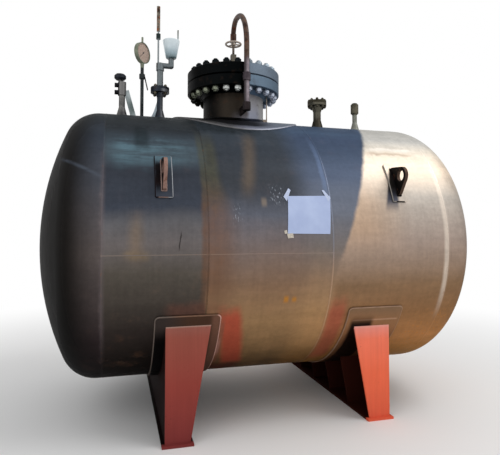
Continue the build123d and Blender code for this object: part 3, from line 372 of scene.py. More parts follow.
# Then dark and tan patches of the left course, primer beside the saddles, and bands of the painted sunlit
# end
SHELL_PATCHES = (("242d31", 0.65, -1.00, -0.91, 36, 50, 0.02, 4, 0),
                 ("806c57", 0.50, -1.03, -0.96, 80, 94, 0.04, 5, 0),
                 ("8d7550", 0.40, -1.06, -0.92, 92, 94, 0.03, 2, 0),
                 # The left lug's painted shadow on its pad
                 ("0e090c", 0.95, -0.874, -0.832, 58, 69, 0.006, 1.5, 0),
                 ("b2543f", 0.95, -0.468, -0.325, 114.5, 148, 0.03, 4, 0.0026),
                 ("8f5a48", 0.70, -0.475, -0.420, 119, 146, 0.010, 3, 0),
                 ("b08478", 0.75, -0.475, -0.430, 129, 139, 0.010, 3, 0),
                 ("5e2a20", 0.80, -0.480, -0.250, 149, 160, 0.04, 4, 0),
                 ("7a4c3e", 0.35, -0.80, -0.44, 111, 118, 0.05, 2, 0),
                 ("ad5f49", 0.80, 0.300, 0.425, 113, 150, 0.03, 5, 0),
                 # A painted highlight band across the sunlit end, and a thin brown band below it
                 ("f2ece4", 0.45, 0.72, 1.10, 43.0, 45.0, 0.05, 0.8, 0),
                 ("94785f", 0.45, 0.70, 1.05, 46.6, 48.2, 0.05, 0.8, 0))


def shell_steel():
    """Weathered rolled plate: run-off streaks, rust below, primer beside the saddles and small marks, with
    painted shadows of the manway and the lugs, a painted sheen and painted highlights.
    """
    f = Finish("shell_steel", roughness=0.5)
    turn = f.turn()
    streaks = run_off(f)
    smears = f.noise(1.0, 6.0, 0.65, f.vector(f.x * 2.2, f.y * 9.0, f.z * 16.0))
    cloud = f.noise(1.7)
    mottle = f.noise(9.0, 6.0, 0.65)
    grain = f.noise(120.0, 3.0)
    fine = f.noise(36.0, 5.0, 0.65)
    front = f.y.step(0.05, -0.05)
    ragged_x = f.x.wavy(mottle, 0.03)
    ragged_turn = turn.wavy(mottle, 5.0)
    f.colour = plate_tone(f, turn, cloud, mottle)

    def patch(rows):
        """Patches one over another. A row is its colour, strength, lowest and highest station, lowest
        and highest angle, softness along and round the tank, and its lean, which moves it along for each
        degree."""
        for code, strength, low_x, high_x, low_turn, high_turn, soft_x, soft_turn, lean in rows:
            x = ragged_x - (turn - low_turn) * lean if lean else ragged_x
            share = x.band(low_x, high_x, soft_x) * ragged_turn.band(low_turn, high_turn, soft_turn)
            f.over(share * strength, code)

    patch(MANWAY_PATCHES)
    # Teal band, a painted sheen
    teal_sheen = turn.wavy(mottle, 8.0).wavy(smears, 14.0).band(47, 59, 4)
    teal_sheen = teal_sheen * f.x.wavy(cloud, 0.3).step(-0.58, -0.82) * f.x.step(-1.19, -1.06)
    f.over(teal_sheen * smears.step(0.30, 0.62) * 0.62, "5f7c88")
    patch(SHELL_PATCHES)
    # Painted shadow of the right lug: black beside it, bluish where it thins out below
    lug_shadow_slant = f.x + (turn - 57.0) * 0.0052
    blue = lug_shadow_slant.step(0.790, 0.816) * f.x.step(0.825, 0.800) * turn.step(64, 68) * turn.step(78, 71)
    f.over(blue * 0.93, "343b4c")
    lug_shadow = lug_shadow_slant.step(0.798, 0.812) * f.x.step(0.824, 0.817) * turn.band(57, 68, 2.5)
    f.over(lug_shadow * 0.97, "0d0b0c")

    low = turn.step(92, 140)
    rust = mottle.step(0.52, 0.72) * (low * 0.8 + 0.10) * f.x.step(-1.5, -0.6)
    f.over(rust * 0.3, "7d5230")
    f.shade((streaks * 0.35 + 0.83) * (fine * 0.30 + 0.85) * (mottle * 0.34 + 0.83)
            * (smears * 0.40 + 0.80))

    # Small marks of the front: chalk, a black scrape, rust spots and specks
    ticks = f.noise(1.0, 3.0, place=f.vector(f.x * 150.0, f.y * 36.0, f.z * 36.0))
    chalk = (f.x.band(-0.135, -0.045, 0.02) * turn.band(67, 74, 2) + f.x.band(-0.390, -0.340, 0.01)
             * turn.band(75, 82, 2)) * ticks.step(0.58, 0.64)
    f.over(chalk * front * 0.5, "b6bdc8")
    # A painted highlight line slanting across the left head
    head_highlight_line = (turn - (f.x - LEFT_SEAM_X) * 33.0).band(64.4, 65.4, 0.9)
    head_highlight_line = head_highlight_line * f.x.band(-1.46, LEFT_SEAM_X - 0.02, 0.06)
    f.over(head_highlight_line * front * smears * 0.7, "626c7b")
    blob = f.x.band(-0.200, -0.165, 0.010) * turn.band(72, 75, 1.2)
    f.over(blob * front * 0.22, "c2a888")
    scrape = (ragged_x + turn * 0.002).band(-0.559, -0.553, 0.003) * turn.band(85, 91, 1)
    f.over(scrape * front * 0.8, "171412")
    spots = (f.x.band(-0.040, -0.008, 0.010) * turn.band(109.5, 112, 1)
             + f.x.band(0.018, 0.048, 0.010) * turn.band(110, 111.8, 1))
    f.over(spots * front * 0.85, "bd8034")
    specks = f.cells(44.0).step(0.34, 0.20) * fine.step(0.46, 0.56) * (turn + f.x * 20.0).step(136, 156)
    f.over(specks * f.x.step(0.85, 1.0) * 0.8, "c8802f")

    f.feed("Metallic", 0.72 - rust * 0.4)
    return f.finished(streaks * 0.16 + mottle * 0.14 + 0.36, grain * 0.22 + mottle * 0.5 + cloud,
                      0.3, 0.004)


def pad_steel():
    """Manway pad: dark on the left and lavender grey towards the right, a painted shade and sunlight split,
    and painted shadow round the neck on its left side.
    """
    f = Finish("pad_steel", metallic=0.7, roughness=0.5)
    cloud = f.noise(6.0)
    fine = f.noise(60.0, 4.0)
    at = f.x.wavy(cloud, 0.10) + 0.8
    f.colour = f.tones(at, 1.6, (0.10, "2a2c2d"), (0.34, "4b4a49"), (0.50, "5c5c60"), (0.64, "858898"),
                       (0.95, "6f7885"), (1.17, "80868f"))
    reach = f.node("ShaderNodeVectorMath", {"operation": "LENGTH"}, f.vector(f.x - MANWAY_X, f.y, 0.0))
    # Painted shadow round the foot of the neck, on its left side
    foot = reach.wavy(cloud, 0.04).step(NECK_R + 0.262, NECK_R + 0.212)
    foot = foot * f.x.step(MANWAY_X + 0.25, MANWAY_X + 0.05)
    f.over(foot * 0.93, "101013")
    f.shade(fine * 0.35 + 0.83)
    return f.finished(cloud * 0.3 + 0.35, fine * 0.4 + cloud, 0.3, 0.002)


def wear_steel():
    """Saddle wear plates: near-black on the left and brown on the right, a painted shade and sunlight
    split, and painted shade beside each leg.
    """
    f = Finish("wear_steel", metallic=0.6, roughness=0.5)
    turn = f.turn()
    mottle = f.noise(10.0, 6.0, 0.65)
    fine = f.noise(60.0, 4.0)
    left = f.mix(f.x.wavy(mottle, 0.05).step(-0.82, -0.62), "3b3330", "4b3529")
    # Painted shade beside the left leg
    left = f.mix(turn.step(119, 128) * f.x.step(-0.72, -0.80), left, "0a0707")
    left = f.mix(f.x.step(-0.53, -0.49), left, "715041")
    right = f.tones(turn, 180, (0, "856a52"), (116, "856a52"), (122, "96704f"), (130, "9a6e4c"),
                    (150, "5a3c24"))
    right = f.mix(f.x.band(0.50, 0.85, 0.01) * turn.band(121.9, 122.6, 0.4) * 0.7, right, "c09a7e")
    # Painted shade beside the right leg
    right = f.mix(f.x.wavy(mottle, 0.02).band(0.49, 0.66, 0.02) * turn.step(119, 125), right, "1f120c")
    f.colour = f.mix(f.x.step(-0.1, 0.1), left, right)
    f.shade(mottle * 0.4 + fine * 0.2 + 0.70)
    return f.finished(mottle * 0.25 + 0.38, fine * 0.4 + mottle, 0.3, 0.002)


# Weld metal

def seam_weld():
    """Girth and long seams: the plate's tone, with its painted light, and a painted bluish highlight on the
    bead at the right girth.
    """
    f = Finish("seam_weld", metallic=0.7, roughness=0.45)
    turn = f.turn()
    cloud = f.noise(1.7)
    spots = f.noise(40.0, 4.0)
    f.colour = plate_tone(f, turn, cloud, f.noise(9.0, 6.0, 0.65))
    # Painted highlight on the right girth bead
    bright = f.x.band(RIGHT_GIRTH_X - 0.01, RIGHT_GIRTH_X + 0.01, 0.01) * turn.step(45, 70)
    line = turn.band(LONG_SEAM_TURN - 0.3, LONG_SEAM_TURN + 0.3, 0.3)
    f.over(bright * 0.35, f.mix(turn.step(88, 100), "7f8698", "bb9a82"))
    f.over(line * 0.2, "a08c7c")
    f.over(spots.step(0.55, 0.72) * 0.35, "6e4426")
    dull = f.x.band(LEFT_GIRTH_X - 0.01, LEFT_GIRTH_X + 0.01, 0.01) * 0.35
    f.shade(spots * 0.5 + 0.85 - dull)
    return f.finished(spots * 0.3 + 0.3, f.noise(220.0, 2.0, 0.5), 0.4, 0.001)


def bead_metal(name, first, *changes):
    """Fillet bead whose tone changes at stations: each change is (station, softness, colour code)."""
    f = Finish(name, metallic=0.6, roughness=0.45)
    spots = f.noise(30.0, 4.0)
    f.colour = as_colour(first)
    for station, soft, code in changes:
        f.over(f.x.wavy(spots, 0.02).step(station - soft, station + soft), code)
    f.shade(spots * 0.7 + 0.65)
    return f.finished(spots * 0.3 + 0.3, f.noise(220.0, 2.0, 0.5), 0.4, 0.001)


# Paint

def red_primer():
    """Red oxide primer brushed on downwards: dark on the left saddle and vivid on the right, a painted
    shade and sunlight split, with a painted highlight on the top edges. Behind each outer rib it is
    near-black, which is painted shade."""
    f = Finish("red_primer", roughness=0.72, specular=0.03, edge=1.0)
    strokes = f.noise(1.0, place=f.vector(f.x * 60.0, f.y * 60.0, f.z * 2.0))
    cloud = f.noise(5.0)
    right_side = f.x.step(-0.1, 0.1)
    left_top = span(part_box("saddle_ribs_left"), "z")[1]
    right_top = span(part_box("saddle_ribs_right"), "z")[1]
    left = f.tones(f.z, left_top, (0, "7a3534"), (left_top * 0.5, "90423a"), (left_top * 0.9, "935044"),
                   (left_top * 0.985, "935a4f"), (left_top, "ab8d80"))
    right = f.tones(f.z, right_top, (0, "dc6146"), (right_top * 0.5, "ec6e4e"),
                    (right_top * 0.86, "f17c61"), (right_top * 0.97, "ee9080"), (right_top, "e8a395"))
    f.colour = f.mix(right_side, left, right)
    left_inside = span(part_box("saddle_ribs_left"), "y")[1] - SADDLE_PLATE
    right_inside = span(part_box("saddle_ribs_right"), "y")[1] - SADDLE_PLATE
    # Painted shade, near-black, on the faces behind each outer rib
    from_middle = abs(f.y) + right_side * (left_inside - right_inside)
    inside = from_middle.step(left_inside - 0.002, left_inside - 0.014)
    f.over(inside * 0.97, f.mix(right_side, "050303", "1d0d0a"))
    f.shade(strokes * 0.28 + cloud * 0.16 + 0.78)
    worn = f.noise(70.0, 3.0, 0.7).step(0.66, 0.72) * cloud.step(0.5, 0.6)
    f.over(worn * 0.8, "4a2a20")
    return f.finished(strokes * 0.2 + 0.6, strokes + cloud * 0.5, 0.3, 0.002)


# Forgings and fittings

def plain_steel(name, dark, light, rust, share, metallic=0.7, roughness=0.45):
    """Forged or rolled steel between a dark and a light tone, with rust in patches."""
    f = Finish(name, roughness=roughness)
    cloud = f.noise(25 / 3)
    fine = f.noise(150.0, 4.0)
    f.colour = f.mix(cloud.step(0.3, 0.7), dark, light)
    patches = f.noise(20.0, 6.0, 0.7).step(1.0 - share, 1.08 - share)
    f.over(patches, rust)
    f.feed("Metallic", metallic - patches * metallic * 0.8)
    f.shade(fine * 0.4 + 0.8)
    return f.finished(patches * 0.25 + fine * 0.15 + roughness - 0.08, fine * 0.5 + patches + cloud,
                      0.35, 0.0015)


def two_tone(name, first, second, axis, low, high, stain=0.5):
    """Steel whose tone changes along x or z between two places, with brown stains."""
    f = Finish(name, metallic=0.7, roughness=0.42)
    cloud = f.noise(9.0)
    fine = f.noise(90.0, 4.0)
    along = {"x": f.x, "z": f.z}[axis]
    f.colour = f.mix(along.wavy(cloud, 0.02).step(low, high), first, second)
    f.over(f.noise(14.0, 5.0, 0.65).step(0.54, 0.70) * stain, "3b2a20")
    f.shade(fine * 0.4 + cloud * 0.2 + 0.70)
    return f.finished(cloud * 0.25 + 0.30, fine * 0.4 + cloud, 0.3, 0.0015)


def nut_steel():
    """Studs and nuts: on the cover dark on the left and pale towards the right, a painted shade and
    sunlight split; pale under the flange, darker at its left and at the back left.
    """
    f = Finish("nut_steel", metallic=0.8, roughness=0.38)
    along = f.x - MANWAY_X
    cloud = f.noise(40.0, 4.0)
    fine = f.noise(200.0, 3.0)
    upper = f.mix(along.step(0.0, 0.10), "101416", "98a4ae")
    lower = f.mix(along.step(-0.21, -0.16), "7d8272", "c2c5c2")
    lower = f.mix(along.step(0.02, 0.06), lower, "b4bccb")
    lower = f.mix(f.y.step(-0.10, 0.02) * along.step(0.1, -0.1), lower, "16180f")
    f.colour = f.mix(f.z.step(FLANGE_HIGH, FLANGE_LOW), upper, lower)
    f.over(cloud.step(0.60, 0.72) * 0.6, "4b3a2a")
    f.shade(fine * 0.4 + 0.8)
    return f.finished(cloud * 0.3 + 0.25, fine + cloud, 0.25, 0.0008)


def neck_steel():
    """Manway neck: dark brown on the left and lavender grey on the right, a painted shade and sunlight
    split whose lit side reaches further round at the foot.
    """
    f = Finish("neck_steel", metallic=0.6, roughness=0.45)
    along = f.x - MANWAY_X
    cloud = f.noise(8.0)
    fine = f.noise(90.0, 4.0)
    height = (f.z - NECK_LOW) / (NECK_HIGH - NECK_LOW)
    dark = f.mix(along.wavy(cloud, 0.1).step(-0.23, -0.10), "0a0908", "2f2923")
    dark = f.mix(height.step(0.55, 0.15) * along.step(-0.10, 0.03), dark, "6a686f")
    light = f.mix(height.step(0.9, 0.3), "8c8a8c", "858895")
    light = f.mix(along.step(0.14, 0.20), light, "a3a2a2")
    side = along.wavy(cloud, 0.03).step(0.045, 0.085)
    f.colour = f.mix(side, dark, light)
    f.over(f.noise(14.0, 5.0, 0.65).step(0.54, 0.70) * 0.45, "3a2a20")
    f.shade(fine * 0.4 + 0.8)
    return f.finished(cloud * 0.25 + 0.33, fine * 0.4 + cloud, 0.3, 0.0015)


def lug_steel(name, node, face, edge):
    """Lug plate: one tone on the face towards the tank's left, which is painted shade, and another on the
    rim and the rest.
    """
    f = Finish(name, metallic=0.5, roughness=0.5)
    low_x = span(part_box(node), "x")[0]
    cloud = f.noise(14.0)
    fine = f.noise(120.0, 4.0)
    f.colour = f.mix(f.x.step(low_x + 0.0005, low_x + 0.0025), face, edge)
    f.over(f.noise(30.0, 5.0, 0.65).step(0.56, 0.68) * 0.7, "6b4530")
    f.shade(fine * 0.4 + cloud * 0.4 + 0.6)
    return f.finished(cloud * 0.25 + 0.38, fine * 0.4 + cloud, 0.35, 0.0015)


def davit_steel():
    """Bent davit bar: pinkish grey scale on the upright with painted shade on its left side, dark rust on
    the bend.
    """
    f = Finish("davit_steel", roughness=0.5)
    cloud = f.noise(16.0)
    fine = f.noise(140.0, 4.0)
    bend = f.mix(cloud.step(0.38, 0.62), "2a1a15", "5b4a40")
    bend = f.mix(f.noise(40.0, 5.0, 0.7).step(0.52, 0.64) * 0.7, bend, "6b3a20")
    upright = f.mix(cloud.step(0.35, 0.65), "746a70", "938a90")
    # Painted shade on the upright's left side
    upright = f.mix(f.x.step(MANWAY_X, MANWAY_X - 0.014) * 0.8, upright, "2c2728")
    bend_share = f.z.wavy(cloud, 0.10).step(COVER_TOP - 0.04, COVER_TOP + 0.04)
    f.feed("Metallic", 0.65 - bend_share * 0.45)
    f.colour = f.mix(bend_share, upright, bend)
    f.shade(fine * 0.4 + 0.8)
    return f.finished(cloud * 0.3 + 0.35, fine * 0.6 + cloud, 0.4, 0.0015)


def screw_steel():
    """Davit screw: grey fork, dark greased stem and a beige hand wheel."""
    f = Finish("screw_steel", metallic=0.5, roughness=0.45)
    cloud = f.noise(30.0)
    fine = f.noise(180.0, 4.0)
    low, high = span(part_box("davit_screw"), "z")
    at = f.z - low
    f.colour = f.tones(at, high - low, (0.0, "6d675c"), (0.075, "5d5a50"), (0.085, "3a342e"),
                       (0.150, "6a5f55"), (0.160, "9a8f84"), (0.188, "a89c92"), (0.195, "3a342e"))
    f.shade(cloud * 0.4 + fine * 0.3 + 0.65)
    return f.finished(cloud * 0.3 + 0.3, fine * 0.6 + cloud, 0.3, 0.001)


def rod_steel():
    """Level rod: rust and bare patches on the sleeve, a dark knob and a bright stem."""
    f = Finish("rod_steel", metallic=0.15, roughness=0.6)
    low, high = span(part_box("level_rod"), "z")
    sleeve = f.mix(f.noise(26.0, 5.0, 0.7).step(0.40, 0.60), "31251d", "8b8376")
    sleeve = f.mix(f.noise(45.0, 5.0, 0.7).step(0.50, 0.60), sleeve, "8f4f26")
    knob = f.z.band(low + ROD_KNOB_LOW, low + ROD_KNOB_HIGH, 0.004)
    stem = f.mix(knob, "8f9698", "252f2f")
    fine = f.noise(200.0, 3.0)
    f.colour = f.mix(f.z.step(high - ROD_SLEEVE - 0.004, high - ROD_SLEEVE + 0.002), stem, sleeve)
    f.shade(fine * 0.4 + 0.8)
    return f.finished(fine * 0.3 + 0.45, fine, 0.35, 0.001)


def smooth_plastic():
    """Cloudy pale blue plastic, darker towards its rounded foot."""
    f = Finish("pale_plastic", roughness=0.38, specular=0.45, edge=1.0)
    f.shader.inputs["Coat Weight"].default_value = 0.15
    low, high = span(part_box("outlet_cap"), "z")
    cloud = f.noise(18.0)
    at = (f.z - low).wavy(cloud, 0.03)
    f.colour = f.tones(at, high - low, (0.0, "52666a"), (0.04, "9aaeb6"), (0.09, "c9d6dc"),
                       (0.152, "dbe6ea"), (0.175, "8b9494"), (0.238, "5a5d52"))
    f.shade(cloud * 0.25 + 0.87)
    return f.finished(cloud * 0.2 + 0.28, f.noise(90.0, 3.0, 0.5), 0.1, 0.0006)


def paper_finish():
    """Blue grey paper with faint folds, blank."""
    f = Finish("paper", roughness=0.85, specular=0.2, edge=1.0)
    fibre = f.noise(260.0, 4.0)
    fold = f.noise(9.0, 3.0, 0.5)
    f.colour = f.mix(fold, "9caad0", "bccae8")
    f.shade(fibre * 0.08 + 0.95)
    f.feed("Base Color", f.colour)
    f.bump(fibre * 0.3 + fold, 0.2, 0.001)
    return f.material


def plain(name, dark, light, roughness=0.5):
    """One small finish with a fine grain in colour and gloss."""
    f = Finish(name, roughness=roughness, specular=0.5, edge=1.0)
    grain = f.noise(150.0, 4.0)
    f.colour = f.mix(grain.step(0.3, 0.7), dark, light)
    return f.finished(grain * 0.2 + roughness - 0.1, grain, 0.15, 0.0005)


# Shapes from whole arrays

def grid_faces(rows, columns, wrap_rows, wrap_columns):
    """Quads between neighbours of a grid, which may close on itself either way."""
    r = np.arange(rows if wrap_rows else rows - 1)
    c = np.arange(columns if wrap_columns else columns - 1)
    a, b = np.meshgrid(r, c, indexing="ij")
    up, side = (a + 1) % rows, (b + 1) % columns
    quads = np.stack([a * columns + b, a * columns + side, up * columns + side, up * columns + b], -1)
    return quads.reshape(-1, 4)


def full_turn(segments):
    """Angles of a whole circle."""
    return np.linspace(0, 2 * math.pi, segments, endpoint=False)


def upright_solid(radius, height, turn, x, y, low, high):
    """Closed surface round a vertical line: rows of radius at each height, which may vary with the turn,
    closed by fans to a point of the line at its low and at its high end."""
    radius, height, turn = np.broadcast_arrays(radius, height, turn)
    rows, segments = radius.shape
    ring = np.stack([x + radius * np.cos(turn), y + radius * np.sin(turn), height], -1).reshape(-1, 3)
    faces = grid_faces(rows, segments, False, True).tolist()
    bottom, top, last = rows * segments, rows * segments + 1, (rows - 1) * segments
    for i in range(segments):
        j = (i + 1) % segments
        faces += [[bottom, j, i], [top, last + i, last + j]]
    return np.vstack([ring, [[x, y, low], [x, y, high]]]), faces


def lathe(profile, segments, x, y):
    """Surface of revolution: (radius, height) points turned through a full circle about a vertical line.
    The profile runs up the outside, from the axis to the axis, so the shape is closed."""
    profile = np.array(profile, float)
    return upright_solid(profile[1:-1, :1], profile[1:-1, 1:], full_turn(segments), x, y,
                         profile[0, 1], profile[-1, 1])


def thread_profile(radius, pitch, low, high, x, y):
    """Screw thread: the radius less 0.35 of the pitch times a triangle wave of height over pitch less
    the turn."""
    turn = full_turn(STUD_SIDES)
    height = np.linspace(low, high, max(4, int((high - low) / pitch * 6)))[:, None]
    phase = (height / pitch - turn / (2 * math.pi)) % 1.0
    return upright_solid(radius - pitch * 0.35 * np.abs(2 * phase - 1), height, turn, x, y, low, high)


def nut_profile(flats, low, high, x, y, first):
    """Chamfered hexagon nut: the radius is the smaller of the hexagon's and a cone's near each face."""
    turn = full_turn(36)
    hexagon = flats / 2 / np.cos((turn % (math.pi / 3)) - math.pi / 6)
    rise = np.array([0.0, 0.0, 0.10, 0.20, 0.80, 0.90, 1.0, 1.0])[:, None]
    cone = np.array([0.80, 0.96, 1.04, 1.16, 1.16, 1.04, 0.96, 0.80])[:, None] * flats / 2
    height = low + rise * (high - low)
    return upright_solid(np.minimum(hexagon, cone), height, turn + first, x, y, low, high)


def bead(path, normal, width, height, closed):
    """Weld bead: a low arch of the given width and height carried along a path on a surface. Its height
    ripples along the path, and its foot lies a little inside the plate."""
    path, normal = np.array(path, float), np.array(normal, float)
    ahead = np.roll(path, -1, 0) - np.roll(path, 1, 0)
    if not closed:
        ahead[0], ahead[-1] = path[1] - path[0], path[-1] - path[-2]
    ahead /= np.linalg.norm(ahead, axis=1)[:, None]
    side = np.cross(ahead, normal)
    side /= np.linalg.norm(side, axis=1)[:, None]
    steps = np.linalg.norm(np.diff(path, axis=0), axis=1)
    along = np.concatenate([[0], np.cumsum(steps)])
    arch = np.linspace(0, math.pi, 7)
    across = -np.cos(arch) * width / 2
    lift = np.sin(arch)
    phase = 2 * math.pi * along[:, None] / BEAD_RIPPLE + RIPPLE_LAG * across / width
    up = lift * height * (1 + RIPPLE_DEPTH * np.cos(phase)) - BEAD_EMBED * (lift < 0.01)
    ring = path[:, None, :] + across[None, :, None] * side[:, None, :] + up[..., None] * normal[:, None, :]
    count, columns = ring.shape[:2]
    faces = grid_faces(count, columns, closed, True).tolist()
    if not closed:
        faces += [list(range(columns))[::-1], [(count - 1) * columns + k for k in range(columns)]]
    return ring.reshape(-1, 3), faces


def joined(shapes):
    """One vertex array and one face list from several shapes."""
    vertices, faces, start = [], [], 0
    for points, quads in shapes:
        vertices.append(points)
        faces += [[start + k for k in face] for face in quads]
        start += len(points)
    return np.vstack(vertices), faces


def add_object(name, data):
    made = bpy.data.objects.new(name, data)
    bpy.context.scene.collection.objects.link(made)
    return made


def piece(name, shapes, material, smooth=True):
    """A mesh piece that rides on the tank, with faces turned outwards."""
    vertices, faces = joined(shapes)
    mesh = bpy.data.meshes.new(name)
    mesh.from_pydata(vertices.tolist(), [], faces)
    mesh.validate()
    made = add_object(name, mesh)
    work = bmesh.new()
    work.from_mesh(mesh)
    bmesh.ops.recalc_face_normals(work, faces=work.faces)
    work.to_mesh(mesh)
    work.free()
    mesh.materials.append(material)
    if smooth:
        mesh.shade_smooth()
        mesh.set_sharp_from_angle(angle=math.radians(SHARP_EDGE))
    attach(made, "root")
    return made


# Paths on the shell

def on_shell(x, turn, lift=0.0):
    """Points on the shell, or a lift above it, at stations x and angles from the top towards the front,
    in radians."""
    x, turn = np.broadcast_arrays(np.asarray(x, float), np.asarray(turn, float))
    normal = np.stack([np.zeros_like(turn), -np.sin(turn), np.cos(turn)], -1)
    base = np.stack([x, np.zeros_like(turn), np.full_like(turn, AXIS_Z)], -1)
    return base + normal * (SHELL_R + np.asarray(lift))[..., None], normal


def pad_outline(centre_x, centre_turn, half_x, half_arc, corner, lift, per_side=40):
    """Rounded rectangle wrapped on the shell: straight sides and quarter-circle corners."""
    corners = []
    for sx, sy, first in ((1, 1, 0), (-1, 1, 90), (-1, -1, 180), (1, -1, 270)):
        turn = np.radians(np.linspace(first, first + 90, 7))
        corners.append(np.stack([sx * (half_x - corner) + corner * np.cos(turn),
                                 sy * (half_arc - corner) + corner * np.sin(turn)], -1))
    loop = []
    for here, there in zip(corners, corners[1:] + corners[:1]):
        loop.append(here)
        share = np.linspace(0, 1, per_side)[1:-1, None]
        loop.append(here[-1] * (1 - share) + there[0] * share)
    flat = np.vstack(loop)
    return on_shell(centre_x + flat[:, 0], centre_turn + flat[:, 1] / SHELL_R, lift)


# Finishes of the nodes
SEAM = seam_weld()
NUT = nut_steel()
OLIVE = plain_steel("olive_fitting", "26241a", "6d685a", "5e4326", 0.34, metallic=0.55, roughness=0.5)
# The flange and cover turn from dark to blue grey between two stations: painted shade on the left, painted
# sunlight on the right
FLANGE_SHADE_EDGE = ("x", MANWAY_X + 0.015, MANWAY_X + 0.050)

finishes = {
    shell_steel(): ("shell_course_left", "shell_course_middle", "shell_course_right", "head_left",
                    "head_right", "lifting_lug_pads"),
    pad_steel(): ("manway_pad",),
    wear_steel(): ("saddle_wear_plate_left", "saddle_wear_plate_right"),
    red_primer(): ("saddle_web_left", "saddle_web_right", "saddle_ribs_left", "saddle_ribs_right",
                   "saddle_base_left", "saddle_base_right"),
    neck_steel(): ("manway_neck",),
    two_tone("flange_steel", "040607", "5f7080", *FLANGE_SHADE_EDGE, stain=0.25): ("manway_flange",),
    two_tone("cover_steel", "030506", "677380", *FLANGE_SHADE_EDGE, stain=0.2): ("manway_cover",),
    plain("gasket_sheet", "101418", "1c2228", roughness=0.8): ("manway_gasket",),
    plain_steel("dark_fitting", "1c1e21", "3a3d44", "4e3424", 0.36): ("cover_lug", "valve_wheel"),
    plain_steel("foot_steel", "171314", "2e2728", "3a241a", 0.3, metallic=0.5): ("davit_foot_bracket",),
    plain_steel("guide_steel", "3a3338", "6e646a", "4a2c1e", 0.4, metallic=0.6): ("davit_guide",),
    davit_steel(): ("davit_arm",),
    screw_steel(): ("davit_screw",),
    plain_steel("side_rod", "8f7c6c", "c3b7aa", "7d4324", 0.30, metallic=0.3): ("manway_side_rod",),
    OLIVE: ("coupling_cap",),
    plain_steel("blind_steel", "1f1d15", "4d493c", "5e4326", 0.34, metallic=0.55, roughness=0.5):
        ("nozzle_blind",),
    two_tone("blind_neck", "37342c", "5a574c", "z", BLIND_NECK_MIDDLE - 0.03, BLIND_NECK_MIDDLE + 0.02):
        ("nozzle_neck",),
    plain_steel("coupling_stem", "55564c", "8b8c84", "5e4326", 0.30, metallic=0.5): ("coupling_stem",),
    plain_steel("valve_metal", "3e3d3f", "84837f", "48382f", 0.32, metallic=0.6): ("valve_stub",),
    two_tone("valve_body_metal", "1b1b1e", "6f6e6d", "x", VALVE_PORT_X - 0.003, VALVE_PORT_X + 0.003):
        ("valve_body",),
    plain_steel("brace_steel", "5e6968", "a2abad", "48382f", 0.25, metallic=0.6): ("valve_brace",),
    plain_steel("gauge_stand", "1d2022", "35393a", "3a2a20", 0.3): ("gauge_stand",),
    plain_steel("gauge_case", "5a6055", "868b78", "5d4a38", 0.30, metallic=0.3): ("gauge",),
    two_tone("relief_flange", "2a3038", "74767a", "x", RELIEF_X - 0.01, RELIEF_X + 0.03):
        ("relief_nozzle",),
    two_tone("relief_body", "2b3036", "697073", "z", RELIEF_FLANGE_TOP, RELIEF_FLANGE_TOP + 0.02,
             stain=0.3): ("relief_valve",),
    smooth_plastic(): ("outlet_cap",),
    rod_steel(): ("level_rod",),
    lug_steel("left_lug", "lifting_lug_left_front", "140e10", "92746a"):
        ("lifting_lug_left_front", "lifting_lug_left_back"),
    lug_steel("right_lug", "lifting_lug_right_front", "0e0c0c", "4d3d33"):
        ("lifting_lug_right_front", "lifting_lug_right_back"),
    NUT: ("manway_studs",),
}
for finish, node_names in finishes.items():
    for node_name in node_names:
        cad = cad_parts[node_name]
        cad.data.materials.clear()
        cad.data.materials.append(finish)


# Nuts, studs and bolts

def fastener(flats, nut_height, radius, end, pitch, low_face, high_face, x, y, first):
    """Stud through two faces, with a nut outside each and a threaded end beyond each nut."""
    low_nut, high_nut = low_face - nut_height, high_face + nut_height
    shank = nut_height * 0.4
    return [nut_profile(flats, low_nut, low_face, x, y, first),
            nut_profile(flats, high_face, high_nut, x, y, first),
            thread_profile(radius, pitch, low_nut - end, low_face - nut_height / 2, x, y),
            thread_profile(radius, pitch, high_face + nut_height / 2, high_nut + end, x, y),
            lathe([(0, low_face - shank), (radius * 0.97, low_face - shank),
                   (radius * 0.97, high_face + shank), (0, high_face + shank)], STUD_SIDES, x, y)]


def ring_of(count, radius, x):
    """Places on a circle, the first half a step from the X direction."""
    turn = (np.arange(count) + 0.5) * 2 * math.pi / count
    return zip(x + radius * np.cos(turn), radius * np.sin(turn), turn)


under_flange = STUD_LOW + STUD_END + NUT_H
stud_shapes = []
for stud_x, stud_y, stud_turn in ring_of(STUD_COUNT, STUD_CIRCLE, MANWAY_X):
    stud_shapes += fastener(NUT_FLATS, NUT_H, STUD_R, STUD_END, STUD_PITCH, under_flange, COVER_TOP,
                            stud_x, stud_y, stud_turn)
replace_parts(piece("manway_stud_set", stud_shapes, NUT), "manway_studs")

bolt_shapes = []
for flange_x, circle, count, neck, lid in ((BLIND_X, BLIND_CIRCLE, 8, "nozzle_neck", BLIND_T),
                                           (RELIEF_X, RELIEF_CIRCLE, 4, "relief_nozzle", FLANGE_T)):
    face = span(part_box(neck), "z")[1]
    for bolt_x, bolt_y, bolt_turn in ring_of(count, circle, flange_x):
        bolt_shapes += fastener(BOLT_NUT_FLATS, BOLT_NUT_H, BOLT_R, BOLT_END, BOLT_PITCH,
                                face - FLANGE_T, face + lid, bolt_x, bolt_y, bolt_turn)
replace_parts(piece("small_flange_bolts", bolt_shapes, OLIVE), "nozzle_bolts")


# Welds

